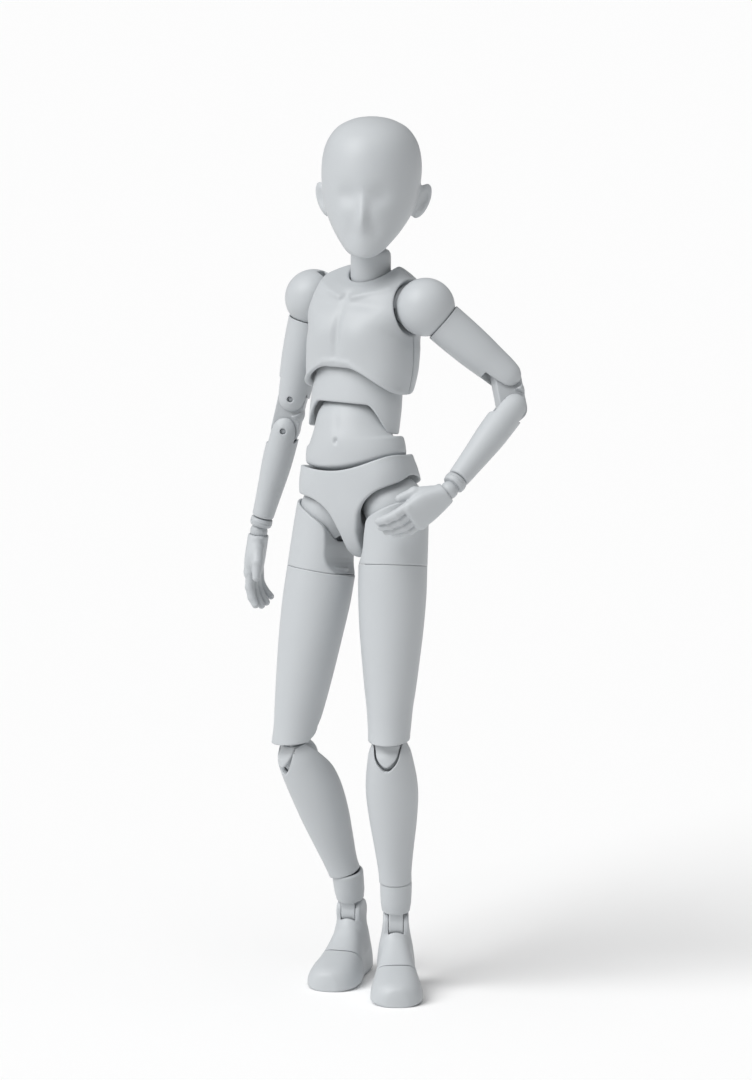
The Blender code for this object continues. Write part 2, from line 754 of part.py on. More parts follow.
def make_knee(maker):
    x = HIP[0]
    upper = [
        (40.4, 3.0, -3.1, 3.3),
        (41.2, 3.15, -3.3, 3.5),
        (42.7, 3.3, -3.5, 3.7),
        (45.0, 3.5, -3.8, 3.85),
        (48.0, 3.9, -4.1, 4.15),
        (52.0, 4.35, -4.5, 4.5),
        (57.0, 4.85, -4.9, 4.85),
        (62.0, 5.15, -5.15, 5.2),
        (THIGH_SEAM - 0.15, 5.2, -5.2, 5.25),
    ]
    steps = [
        (CUT, prism([(-0.4, 38), (4.6, 47), (8, 47), (8, 38)], "X", x - 6, x + 6)),
        (CUT, rod(HIP, "Z", -10.5, -8, 4.4, 14)),
        (CUT, rod(HIP, "Z", -13.4, -10, 1.7, 10)),
        (CUT, spindle(KNEE_UPPER, 3.3, 2.45, 2.15)),
        (CUT, block((x - 2.08, -2.6, 36), (x + 2.08, 6, KNEE_UPPER[2] - 0.1))),
        (CUT, rod(KNEE_UPPER, "X", -2.8, 2.8, BORE, 10)),
    ]
    maker.piece("thigh", "thigh_turn", hull(upper, x, 14), steps)
    lower = [
        (16.4, 2.35, -1.45, 3.25),
        (19.0, 2.5, -1.7, 3.5),
        (23.0, 3.05, -2.2, 4.2),
        (27.0, 3.6, -2.65, 4.8),
        (31.0, 3.95, -2.95, 5.0),
        (34.0, 3.85, -3.15, 4.7),
        (37.7, 3.3, -3.2, 4.0),
        (39.2, 3.1, -3.0, 3.6),
        (40.1, 2.85, -2.7, 3.1),
    ]
    notch = [(x - 2.0, 43), (x - 1.7, 39), (x, 36.4), (x + 1.7, 39), (x + 2.0, 43)]
    steps = [
        (CUT, prism([(-0.2, 42), (5, 33.5), (8, 33.5), (8, 42)], "X", x - 6, x + 6)),
        (CUT, prism(notch, "Y", -6, -0.3)),
        (CUT, spindle(KNEE_LOWER, 3.12, 2.0, 2.15)),
        (CUT, block((x - 2.08, -2.4, KNEE_LOWER[2] + 0.1), (x + 2.08, 6, 43.5))),
        (CUT, rod(KNEE_LOWER, "X", -2.8, 2.8, BORE)),
        (CUT, socket(ANKLE, 2.55, 14, 8)),
        (CUT, rod(ANKLE, "Z", 1, 6.6, 1, 8)),
    ]
    maker.piece("shin", "knee_lower", hull(lower, x, 16), steps)
    web = block((x - 1.5, -2.1, KNEE_LOWER[2]), (x + 1.5, 1.6, KNEE_UPPER[2]))
    steps = [
        (JOIN, spindle(KNEE_UPPER, 3.05, 2.2, 1.9)),
        (JOIN, spindle(KNEE_LOWER, 2.9, 1.75, 1.9)),
        (CUT, rod(KNEE_UPPER, "X", -3, 3, BORE)),
        (CUT, rod(KNEE_LOWER, "X", -3, 3, BORE)),
    ]
    maker.piece("knee_block", "knee_upper", web, steps)
    pin = rod(KNEE_UPPER, "X", -2.7, 2.7, PIN)
    maker.piece("knee_upper_pin", "thigh_turn", pin, look=PINS)
    pin = rod(KNEE_LOWER, "X", -2.7, 2.7, PIN)
    maker.piece("knee_lower_pin", "knee_lower", pin, look=PINS)


def shoe():
    """The foot and toe cap together, from (y, half width, height) sections with a flat sole."""
    sections = [
        (5.1, 1.2, 3.2),
        (4.6, 2.1, 5.0),
        (3.6, 2.6, 7.0),
        (2.0, 2.8, 9.0),
        (0.2, 2.9, 9.4),
        (-1.6, 3.0, 8.4),
        (-3.6, 3.4, 6.6),
        (-5.6, 3.8, 5.3),
        (-7.6, 4.0, 4.6),
        (-9.4, 3.85, 4.0),
        (-10.9, 3.1, 3.4),
        (-11.8, 1.9, 2.7),
        (-12.1, 0.9, 2.0),
    ]
    rings = []
    for y, half, height in sections:
        ring = [(FOOT[0] + 0.85 * half, y, 0)]
        for i in range(9):
            turn = math.pi * i / 8
            z = 0.12 * height + 0.88 * height * math.sin(turn) ** 0.8
            ring.append((FOOT[0] + half * math.cos(turn), y, z))
        ring.append((FOOT[0] - 0.85 * half, y, 0))
        rings.append(ring)
    return skin(rings)


def toe_side(radius):
    """All in front of the toe joint, with a round back about its pin."""
    _, y, z = TOE
    outline = [(y - 14, -3), (y, -3)]
    for i in range(9):
        turn = math.radians(-90 + 22.5 * i)
        outline.append((y + radius * math.cos(turn), z + radius * math.sin(turn)))
    outline += [(y, 11), (y - 14, 11)]
    return prism(outline, "X", FOOT[0] - 6, FOOT[0] + 6)


def make_foot(maker):
    x, y, z = FOOT
    post = arc(ANKLE_BALL, 180, 38, 5) + [(1.9, 0.8), (6.2, 0.8)]
    maker.piece("ankle_post", "ankle_turn", lathe(post, ANKLE, "Z", 10), look=INNER)
    cuff = [(-2.4, 2.1), (-1.2, 2.3)] + arc(2.4, 85, 25, 4)
    cup = arc(ANKLE_BALL + 0.22, 180, 60, 4) + [(3.5, 4.5)]
    steps = [
        (CUT, lathe(cup, ANKLE, "Z", 10)),
        (JOIN, block((x - 1.2, y - 1.9, z), (x + 1.2, y + 1.9, 12.9))),
        (JOIN, rod(FOOT, "X", -1.21, 1.21, 2.05, 14)),
        (CUT, rod(FOOT, "X", -3, 3, BORE)),
    ]
    maker.piece("ankle_cuff", "ankle_tilt", lathe(cuff, ANKLE, "Z", 16), steps)
    maker.piece("ankle_pin", "foot_pitch", rod(FOOT, "X", -2.2, 2.2, PIN), look=PINS)
    form = shoe()
    tongue = block((x - 0.9, TOE[1], 1.0), (x + 0.9, -2, 4.1))
    steps = [
        (JOIN, rod(FOOT, "X", -2.4, 2.4, 2.1, 14)),
        (CUT, rod(FOOT, "X", -1.4, 1.4, 2.35, 12)),
        (CUT, block((x - 1.4, y - 2.3, z), (x + 1.4, y + 2.3, 15))),
        (CUT, toe_side(2.8)),
        (JOIN, tongue),
        (JOIN, rod(TOE, "X", -0.91, 0.91, 1.6, 10)),
        (CUT, rod(TOE, "X", -3, 3, BORE)),
        (CUT, rod(FOOT, "X", -4, 4, BORE)),
    ]
    maker.piece("foot", "foot_pitch", form, steps)
    steps = [
        (KEEP, toe_side(2.55)),
        (CUT, rod(TOE, "X", -1.1, 1.1, 2.1, 10)),
        (CUT, block((x - 1.1, TOE[1], -1), (x + 1.1, 0, 8))),
        (CUT, rod(TOE, "X", -2.7, 2.7, BORE)),
    ]
    maker.piece("toe", "toe_bend", form, steps)
    maker.piece("toe_pin", "toe_bend", rod(TOE, "X", -2.5, 2.5, PIN), look=PINS)


def centre_on_floor(root):
    """Moves the figure sideways until the middle of its box is over the origin."""
    bpy.context.view_layer.update()
    graph = bpy.context.evaluated_depsgraph_get()
    low = Vector((1, 1, 1))
    high = -low
    for shape in bpy.context.collection.objects:
        if shape.type != "MESH" or shape.hide_render:
            continue
        solid = shape.evaluated_get(graph)
        for vertex in solid.data.vertices:
            point = solid.matrix_world @ vertex.co
            low = Vector(map(min, low, point))
            high = Vector(map(max, high, point))
    root.location.x -= (low.x + high.x) / 2
    root.location.y -= (low.y + high.y) / 2


def main():
    for old in list(bpy.data.objects):
        bpy.data.objects.remove(old, do_unlink=True)
    joints = make_joints()
    lift = stand(joints)
    for name, joint in joints.items():
        joint.make_empty(name)
    root = joints["pelvis_lean"].empty
    root.location.z += lift * MM
    trunk = Maker(joints)
    for make in (make_pelvis, make_middle, make_chest, make_head):
        make(trunk)
    for side in ("left", "right"):
        maker = Maker(joints, side)
        for make in (make_arm, make_hand, make_hip, make_knee, make_foot):
            make(maker)
    centre_on_floor(root)


main()
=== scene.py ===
"""Looks of the posable figure: every visible moulded piece, its finish and the studio.

Forms are drawn in millimetres for the figure standing straight and facing -Y, its left side at +X,
and are then carried to the places that the frame's joints give.
"""

import json
import logging
import math
from dataclasses import dataclass
from enum import Enum
from typing import Callable, Optional, Sequence

import bpy
import numpy as np
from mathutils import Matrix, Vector

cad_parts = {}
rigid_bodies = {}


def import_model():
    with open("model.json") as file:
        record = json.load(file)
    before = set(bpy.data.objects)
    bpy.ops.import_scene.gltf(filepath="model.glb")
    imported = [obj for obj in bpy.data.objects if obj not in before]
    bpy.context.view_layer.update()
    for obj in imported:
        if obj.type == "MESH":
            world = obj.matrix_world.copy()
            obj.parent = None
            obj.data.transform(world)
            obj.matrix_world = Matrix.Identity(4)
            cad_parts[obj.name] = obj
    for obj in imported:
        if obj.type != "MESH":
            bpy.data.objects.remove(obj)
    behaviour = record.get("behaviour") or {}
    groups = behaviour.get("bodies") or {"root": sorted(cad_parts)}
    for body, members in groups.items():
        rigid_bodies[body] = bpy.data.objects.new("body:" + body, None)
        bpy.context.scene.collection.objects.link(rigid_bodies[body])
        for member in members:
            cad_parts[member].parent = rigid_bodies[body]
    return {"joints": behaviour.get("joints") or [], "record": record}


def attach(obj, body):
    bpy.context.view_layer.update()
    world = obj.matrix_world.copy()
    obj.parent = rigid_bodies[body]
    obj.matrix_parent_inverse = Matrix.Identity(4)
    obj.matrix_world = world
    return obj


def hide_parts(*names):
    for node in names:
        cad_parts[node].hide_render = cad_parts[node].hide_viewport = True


for old in list(bpy.data.objects):
    bpy.data.objects.remove(old, do_unlink=True)
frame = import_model()

LOG = logging.getLogger("figure")
MM = 0.001
# Rounding of the edges inside a joint, and a reach beyond the sides of the trunk and the legs.
CRISP = 0.1
FAR = 14
Distance = Callable[[np.ndarray], np.ndarray]
Point = Sequence[float]

# Joints of the straight figure, and of its left side where there are two.
WAIST = (0, 0.3, 82.4)
SPINE = (0, 0.4, 88.0)
CHEST = (0, 0.4, 99.1)
NECK = (0, 0.8, 109.5)
HEAD = (0, 0.8, 117.5)
SHOULDER = (10.8, 0.8, 106.8)
ELBOW_UPPER = (10.8, 0.8, 91.0)
ELBOW_LOWER = (10.8, 0.8, 85.8)
WRIST = (10.8, 0.8, 69.0)
HIP = (5.6, 0, 75.5)
KNEE_UPPER = (5.6, 0.4, 42.7)
KNEE_LOWER = (5.6, 0.4, 37.7)
ANKLE = (5.6, 0.9, 14.8)
FOOT = (5.6, 0.9, 10.0)
TOE = (5.6, -6.6, 2.6)

# Radii of the balls between the trunk's pieces, of the hinge pins, and of the holes for them.
TRUNK_BALL = 2.2
TRUNK_SOCKET = 2.35
PIN_RADIUS = 0.55
PIN_BORE = 0.66
ELBOW_PIN_RADIUS = 0.43
ELBOW_PIN_BORE = 0.46


class Side(Enum):
    """Which side of the figure a piece belongs to."""

    LEFT = "_left"
    RIGHT = "_right"


class Slot(Enum):
    """The record's material slots."""

    SHELL = "shell"
    INNER = "inner"
    PIN = "pin"


def soft_max(a: np.ndarray, b: np.ndarray, blend: float) -> np.ndarray:
    """The larger of two distances, with the corner between them rounded.

    Args:
        a: The first distances.
        b: The second distances.
        blend: About the radius of the rounding; 0 leaves the corner sharp.

    Returns:
        The rounded maximum.
    """
    if blend <= 0:
        return np.maximum(a, b)
    share = np.maximum(blend - np.abs(a - b), 0) / blend
    return np.maximum(a, b) + share * share * blend * 0.25


class Form:
    """A solid, given by the distance to its surface, which is negative inside."""

    def __init__(self, distance: Distance, low: Point, high: Point) -> None:
        """Keeps the distance and the box that the solid lies in.

        Args:
            distance: Gives the distance at an array of points.
            low: The lowest corner of the box.
            high: The highest corner of the box.
        """
        self.distance = distance
        self.low = np.array(low, float)
        self.high = np.array(high, float)

    def join(self, other: "Form", blend: float = CRISP) -> "Form":
        """This form and another as one, with a fillet between them."""
        return Form(
            lambda p: -soft_max(-self.distance(p), -other.distance(p), blend),
            np.minimum(self.low, other.low),
            np.maximum(self.high, other.high),
        )

    def cut(self, other: "Form", blend: float = CRISP) -> "Form":
        """This form without another, its new edges rounded."""
        return Form(
            lambda p: soft_max(self.distance(p), -other.distance(p), blend), self.low, self.high
        )

    def keep(self, other: "Form", blend: float) -> "Form":
        """What this form shares with another, its new edges rounded."""
        return Form(
            lambda p: soft_max(self.distance(p), other.distance(p), blend),
            np.maximum(self.low, other.low),
            np.minimum(self.high, other.high),
        )

    def swell(self, height: Distance) -> "Form":
        """This form with its surface raised by a height, or sunk where that is negative."""
        return Form(lambda p: self.distance(p) - height(p), self.low - 1.5, self.high + 1.5)

    def lean(self, centre: Point, out: float, back: float) -> "Form":
        """This form slanted: further out with its height, and further back the further out.

        Args:
            centre: The point that stays.
            out: Outwards per millimetre of height.
            back: Backwards per millimetre outwards.

        Returns:
            The slanted form.
        """

        def distance(p: np.ndarray) -> np.ndarray:
            shift = np.zeros_like(p)
            shift[:, 0] = out * (p[:, 2] - centre[2])
            shift[:, 1] = back * (p[:, 0] - centre[0])
            return self.distance(p - shift)

        return Form(distance, self.low - 1.0, self.high + 1.0)

    def sockets(self, *centres: Point) -> "Form":
        """This form with a socket for each of the trunk's balls that it touches.

        Args:
            centres: Where those balls are.

        Returns:
            What is left.
        """
        form = self
        for centre in centres:
            form = form.cut(ball(centre, TRUNK_SOCKET), 0.2)
        return form

    def both_sides(self) -> "Form":
        """This form together with its mirror image.

        Returns:
            The doubled form.
        """
        reach = np.array([max(abs(self.low[0]), abs(self.high[0])), 0, 0])
        low = np.where([True, False, False], -reach, self.low)
        high = np.where([True, False, False], reach, self.high)
        return Form(lambda p: self.distance(np.abs(p * [1, 0, 0]) + p * [0, 1, 1]), low, high)


def smooth_rows(rows: Sequence[Sequence[float]], steps: int = 10) -> np.ndarray:
    """Rows of numbers with further rows between them on a smooth curve.

    Args:
        rows: The rows to pass through.
        steps: Pieces between two rows.

    Returns:
        The denser rows.
    """
    table = np.array(rows, float)
    padded = np.vstack([table[0], table, table[-1]])
    result = []
    for a, b, c, d in zip(padded, padded[1:], padded[2:], padded[3:]):
        for step in range(steps):
            t = step / steps
            cube = 3 * (b - c) + d - a
            result.append(b + 0.5 * t * (c - a + t * (2 * a - 5 * b + 4 * c - d + t * cube)))
    result.append(table[-1])
    return np.array(result)


def hull(stations: Sequence[Sequence[float]], x: float = 0, power: float = 2, edge: float = 0.4) -> Form:
    """A form from (height, half width, front y, back y) stations.

    Args:
        stations: The stations, from the lowest up.
        x: Where the middle lies sideways.
        power: 2 gives ellipses and more gives boxier sections.
        edge: Rounding of the two ends.

    Returns:
        The form.
    """
    rows = smooth_rows(stations)

    def distance(p: np.ndarray) -> np.ndarray:
        z = p[:, 2]
        half = np.interp(z, rows[:, 0], rows[:, 1])
        front = np.interp(z, rows[:, 0], rows[:, 2])
        back = np.interp(z, rows[:, 0], rows[:, 3])
        deep = (back - front) / 2
        u = np.abs(p[:, 0] - x) / half
        v = np.abs(p[:, 1] - (front + back) / 2) / deep
        rho = np.maximum(u**power + v**power, 1e-6) ** (1 / power)
        slope = np.hypot(u ** (power - 1) / half, v ** (power - 1) / deep) * rho ** (1 - power)
        slope = np.clip(slope, 0.6 / np.maximum(half, deep), 1 / np.minimum(half, deep))
        ends = np.maximum(rows[0, 0] - z, z - rows[-1, 0])
        return soft_max((rho - 1) / slope, ends, edge)

    wide = rows[:, 1].max()
    low = (x - wide, rows[:, 2].min(), rows[0, 0])
    return Form(distance, low, (x + wide, rows[:, 3].max(), rows[-1, 0]))


def egg(centre: Point, radii: Point) -> Form:
    """A ball stretched to three radii.

    Args:
        centre: Its middle.
        radii: Its radii along X, Y and Z.

    Returns:
        The form.
    """
    middle = np.array(centre, float)
    size = np.array(radii, float)

    def distance(p: np.ndarray) -> np.ndarray:
        q = (p - middle) / size
        near = np.linalg.norm(q, axis=1)
        return near * (near - 1) / np.maximum(np.linalg.norm(q / size, axis=1), 1e-9)

    return Form(distance, middle - size, middle + size)


def ball(centre: Point, radius: float) -> Form:
    """A round ball."""
    return egg(centre, (radius, radius, radius))


def rod(centre: Point, axis: str, low: float, high: float, radius: float, edge: float = 0.15) -> Form:
    """A round bar along an axis, its ends measured from the centre.

    Args:
        centre: A point on its axis.
        axis: X, Y or Z.
        low: Its lower end.
        high: Its upper end.
        radius: Its radius.
        edge: Rounding of its ends.

    Returns:
        The form.
    """
    k = "XYZ".index(axis)
    middle = np.array(centre, float)
    others = [i for i in range(3) if i != k]

    def distance(p: np.ndarray) -> np.ndarray:
        q = p - middle
        around = np.hypot(q[:, others[0]], q[:, others[1]]) - radius
        return soft_max(around, np.maximum(low - q[:, k], q[:, k] - high), edge)

    reach = np.full(3, radius)
    start, end = middle - reach, middle + reach
    start[k], end[k] = middle[k] + low, middle[k] + high
    return Form(distance, start, end)


def block(low: Point, high: Point, edge: float = 0.2) -> Form:
    """A box with rounded edges.

    Args:
        low: Its lowest corner.
        high: Its highest corner.
        edge: Rounding of its edges.

    Returns:
        The form.
    """
    middle = (np.array(low, float) + high) / 2
    half = (np.array(high, float) - low) / 2 - edge

    def distance(p: np.ndarray) -> np.ndarray:
        q = np.abs(p - middle) - half
        return np.linalg.norm(np.maximum(q, 0), axis=1) + np.minimum(q.max(axis=1), 0) - edge

    return Form(distance, low, high)


def outline_distance(a: np.ndarray, b: np.ndarray, outline: np.ndarray) -> np.ndarray:
    """Distance in a plane to a closed outline, negative inside.

    Args:
        a: First coordinates of the points.
        b: Second coordinates of the points.
        outline: Corners of the outline.

    Returns:
        The distances.
    """
    near = np.full(a.shape, np.inf)
    inside = np.zeros(a.shape, bool)
    for start, end in zip(outline, np.roll(outline, -1, axis=0)):
        ea, eb = end - start
        wa, wb = a - start[0], b - start[1]
        t = np.clip((wa * ea + wb * eb) / max(ea * ea + eb * eb, 1e-12), 0, 1)
        near = np.minimum(near, (wa - ea * t) ** 2 + (wb - eb * t) ** 2)
        above = (start[1] <= b) != (end[1] <= b)
        side = ea * wb - eb * wa
        inside ^= above & ((side > 0) == (eb > 0))
    return np.where(inside, -1, 1) * np.sqrt(near)


def prism(outline: Sequence[Point], axis: str, low: float, high: float, edge: float = 0.15) -> Form:
    """An outline carried along X, in (y, z), or along Y, in (x, z).

    Args:
        outline: Its corners.
        axis: X or Y.
        low: Where it starts on the axis.
        high: Where it ends on the axis.
        edge: Rounding of its two ends.

    Returns:
        The form.
    """
    corners = np.array(outline, float)
    k, other = (0, 1) if axis == "X" else (1, 0)

    def distance(p: np.ndarray) -> np.ndarray:
        flat = outline_distance(p[:, other], p[:, 2], corners)
        return soft_max(flat, np.maximum(low - p[:, k], p[:, k] - high), edge)

    start, end = np.zeros(3), np.zeros(3)
    start[[other, 2]], end[[other, 2]] = corners.min(0), corners.max(0)
    start[k], end[k] = low, high
    return Form(distance, start, end)


def lathe(profile: Sequence[Point], centre: Point, axis: str = "Z") -> Form:
    """Turns (distance along the axis, radius) pairs about an axis through the centre.

    Args:
        profile: The pairs, in order.
        centre: A point on the axis.
        axis: X, Y or Z.

    Returns:
        The form.
    """
    pairs = np.array(profile, float)
    corners = np.vstack([pairs, (pairs * [1, -1])[::-1]])
    k = "XYZ".index(axis)
    others = [i for i in range(3) if i != k]
    middle = np.array(centre, float)

    def distance(p: np.ndarray) -> np.ndarray:
        q = p - middle
        return outline_distance(q[:, k], np.hypot(q[:, others[0]], q[:, others[1]]), corners)

    reach = np.full(3, pairs[:, 1].max())
    start, end = middle - reach, middle + reach
    start[k], end[k] = middle[k] + pairs[:, 0].min(), middle[k] + pairs[:, 0].max()
    return Form(distance, start, end)


def limb(path: Sequence[Point], radii: Sequence[float], blend: float = 0.25) -> Form:
    """A finger-like form along a path.

    Args:
        path: Points of the path.
        radii: The radius at each point.
        blend: How softly its lengths run into each other.

    Returns:
        The form.
    """
    form: Optional[Form] = None
    for (a, b), (start, end) in zip(zip(path, path[1:]), zip(radii, radii[1:])):
        length = capsule(a, b, start, end)
        form = form.join(length, blend) if form else length
    assert form
    return form


def capsule(a: Point, b: Point, start: float, end: float) -> Form:
    """A bar with round ends whose radius changes along it.

    Args:
        a: Its first end.
        b: Its second end.
        start: Radius at the first end.
        end: Radius at the second end.

    Returns:
        The form.
    """
    first, last = np.array(a, float), np.array(b, float)
    along = last - first

    def distance(p: np.ndarray) -> np.ndarray:
        t = np.clip((p - first) @ along / (along @ along), 0, 1)
        return np.linalg.norm(p - first - t[:, None] * along, axis=1) - start - (end - start) * t

    reach = max(start, end)
    return Form(distance, np.minimum(first, last) - reach, np.maximum(first, last) + reach)


def arc(radius: float, start: float, end: float, steps: int) -> list[tuple[float, float]]:
    """(distance, radius) pairs on a circle, between two angles in degrees off the axis."""
    turns = np.radians(np.linspace(start, end, steps + 1))
    return [(radius * math.cos(t), max(0.0, radius * math.sin(t))) for t in turns]


def arch(flat: float, end: float, power: float, height: float, depth: float) -> list[tuple[float, float]]:
    """Points of an edge that is flat in the middle and bends away on both sides.

    Args:
        flat: Half the width of the flat part.
        end: Half the width of all of it.
        power: How the bend grows.
        height: Height of the flat part.
        depth: How much the ends differ from that.

    Returns:
        The points as (x, height).
    """
    xs = np.linspace(-end, end, 61)
    away = np.maximum(0, np.abs(xs) - flat) / (end - flat)
    return [(float(x), float(height + depth * a**power)) for x, a in zip(xs, away)]


def dish(lift: float, slope: float = 0) -> Form:
    """All below the hollow surface, round about the waist's axis, where belly and pelvis meet.

    Args:
        lift: How far the surface is raised.
        slope: How much it rises towards the back.

    Returns:
        The form.
    """
    lowest, bend = 80.7, 0.0377

    def distance(p: np.ndarray) -> np.ndarray:
        radius = np.minimum(np.hypot(p[:, 0] - WAIST[0], p[:, 1] - WAIST[1]), FAR)
        height = lowest + bend * radius**2 + lift + slope * p[:, 1]
        return (p[:, 2] - height) / np.hypot(1, 2 * bend * radius)

    return Form(distance, (-FAR, -FAR, 55), (FAR, FAR, 88.1 + lift))


def mirrored(half: Sequence[Point], x: float) -> list[tuple[float, float]]:
    """A smooth outline about x, from (half width, height) pairs that run down to width 0."""
    curve = smooth_rows(half, 6)
    return [(x - a, b) for a, b in curve] + [(x + a, b) for a, b in curve[-2::-1]]


def hill(a: np.ndarray, b: np.ndarray, at: Point, size: Point) -> np.ndarray:
    """A smooth hill of height 1 in a plane, from its top and its two widths."""
    return np.exp(-(((a - at[0]) / size[0]) ** 2) - ((b - at[1]) / size[1]) ** 2)


def relief(p: np.ndarray, rows: Sequence[Sequence[float]]) -> np.ndarray:
    """Smooth hills on both sides of the figure: rows of height, x and z of the top, two widths."""
    x, z = np.abs(p[:, 0]), p[:, 2]
    return sum(row[0] * hill(x, z, row[1:3], row[3:5]) for row in rows)


def ridge(a: np.ndarray, b: np.ndarray, path: Sequence[Point], width: float) -> np.ndarray:
    """A smooth ridge of height 1 along a path in a plane.

    Args:
        a: First coordinates of the points.
        b: Second coordinates of the points.
        path: Points of the path.
        width: Its width.

    Returns:
        The heights.
    """
    near = np.full(a.shape, np.inf)
    for (a0, b0), (a1, b1) in zip(path, path[1:]):
        ea, eb = a1 - a0, b1 - b0
        t = np.clip(((a - a0) * ea + (b - b0) * eb) / (ea * ea + eb * eb), 0, 1)
        near = np.minimum(near, (a - a0 - ea * t) ** 2 + (b - b0 - eb * t) ** 2)
    return np.exp(-near / width**2)


def ahead(p: np.ndarray, start: float = 0.0, depth: float = 3.0) -> np.ndarray:
    """A share that grows from 0 at the start to 1 at the depth in front of it."""
    return np.clip((start - p[:, 1]) / depth, 0, 1)


@dataclass(frozen=True)
class Mesher:
    """Turns forms into meshes of even, near-square faces with edges of one step."""

    step: float

    def values(self, form: Form) -> tuple[np.ndarray, np.ndarray]:
        """The form's distances on a grid round it.

        Args:
            form: The form.

        Returns:
            The grid's lowest corner and the distances.
        """
        layers = 12
        low = form.low - 2.3 * self.step
        count = np.ceil((form.high - low) / self.step).astype(int) + 3
        xs, ys, zs = (low[k] + self.step * np.arange(count[k]) for k in range(3))
        result = np.empty(count)
        for start in range(0, count[0], layers):
            part = slice(start, start + layers)
            points = np.stack(np.meshgrid(xs[part], ys, zs, indexing="ij"), axis=-1).reshape(-1, 3)
            result[part] = form.distance(points).reshape(-1, count[1], count[2])
        return low, result

    def surface(self, form: Form) -> tuple[np.ndarray, np.ndarray]:
        """The form's surface: one vertex in each cell that the surface crosses.

        Args:
            form: The form.

        Returns:
            Vertices, and faces of four.
        """
        low, values = self.values(form)
        shape = np.array(values.shape)
        corners, places = [], []
        for k in range(3):
            first = np.take(values, range(shape[k] - 1), axis=k)
            second = np.take(values, range(1, shape[k]), axis=k)
            crossing = (first < 0) != (second < 0)
            edge = np.argwhere(crossing)
            a, b = first[crossing], second[crossing]
            place = edge.astype(float)
            place[:, k] += a / (a - b)
            u, v = (k + 1) % 3, (k + 2) % 3
            ring = []
            for du, dv in ((1, 1), (0, 1), (0, 0), (1, 0)):
                cell = edge.copy()
                cell[:, u] -= du
                cell[:, v] -= dv
                ring.append(np.ravel_multi_index(tuple(cell.T), tuple(shape)))
            quads = np.stack(ring, axis=1)
            quads[a > 0] = quads[a > 0][:, ::-1]
            corners.append(quads)
            places.append(np.repeat(place, 4, axis=0))
        quads = np.vstack(corners)
        _, index = np.unique(quads, return_inverse=True)
        index = index.reshape(-1)
        total = np.bincount(index)
        spots = np.vstack(places)
        points = np.stack([np.bincount(index, spots[:, k]) / total for k in range(3)], axis=1)
        return self.settle(form, low + self.step * points), index.reshape(-1, 4)

    def settle(self, form: Form, points: np.ndarray) -> np.ndarray:
        """Moves points onto the form's surface.

        Args:
            form: The form.
            points: Points near its surface.

        Returns:
            The moved points.
        """
        tiny = 0.02
        for _ in range(3):
            slope = np.zeros_like(points)
            for k in range(3):
                shift = np.zeros(3)
                shift[k] = tiny
                slope[:, k] = form.distance(points + shift) - form.distance(points - shift)
            slope /= 2 * tiny
            size = np.maximum((slope * slope).sum(axis=1), 0.3)
            move = slope * (form.distance(points) / size)[:, None]
            length = np.linalg.norm(move, axis=1)
            points = points - move * np.minimum(1, 0.6 * self.step / np.maximum(length, 1e-9))[:, None]
        return points


@dataclass(frozen=True)
class Placing:
    """Where the straight figure's body lies in the frame."""

    anchor: np.ndarray
    place: np.ndarray
    turn: np.ndarray

    def carry(self, points: np.ndarray) -> np.ndarray:
        """Points of the straight figure, in millimetres, carried into the frame, in metres."""
        return ((points - self.anchor) @ self.turn.T + self.place) * MM

    def turned(self, letter: str, degrees: float) -> "Placing":
        """This placing with a further turn about the anchor.

        Args:
            letter: The axis, X or Y.
            degrees: The turn.

        Returns:
            The new placing.
        """
        c, s = math.cos(math.radians(degrees)), math.sin(math.radians(degrees))
        own = [[1, 0, 0], [0, c, -s], [0, s, c]] if letter == "X" else [[c, 0, s], [0, 1, 0], [-s, 0, c]]
        return Placing(self.anchor, self.place, self.turn @ np.array(own))


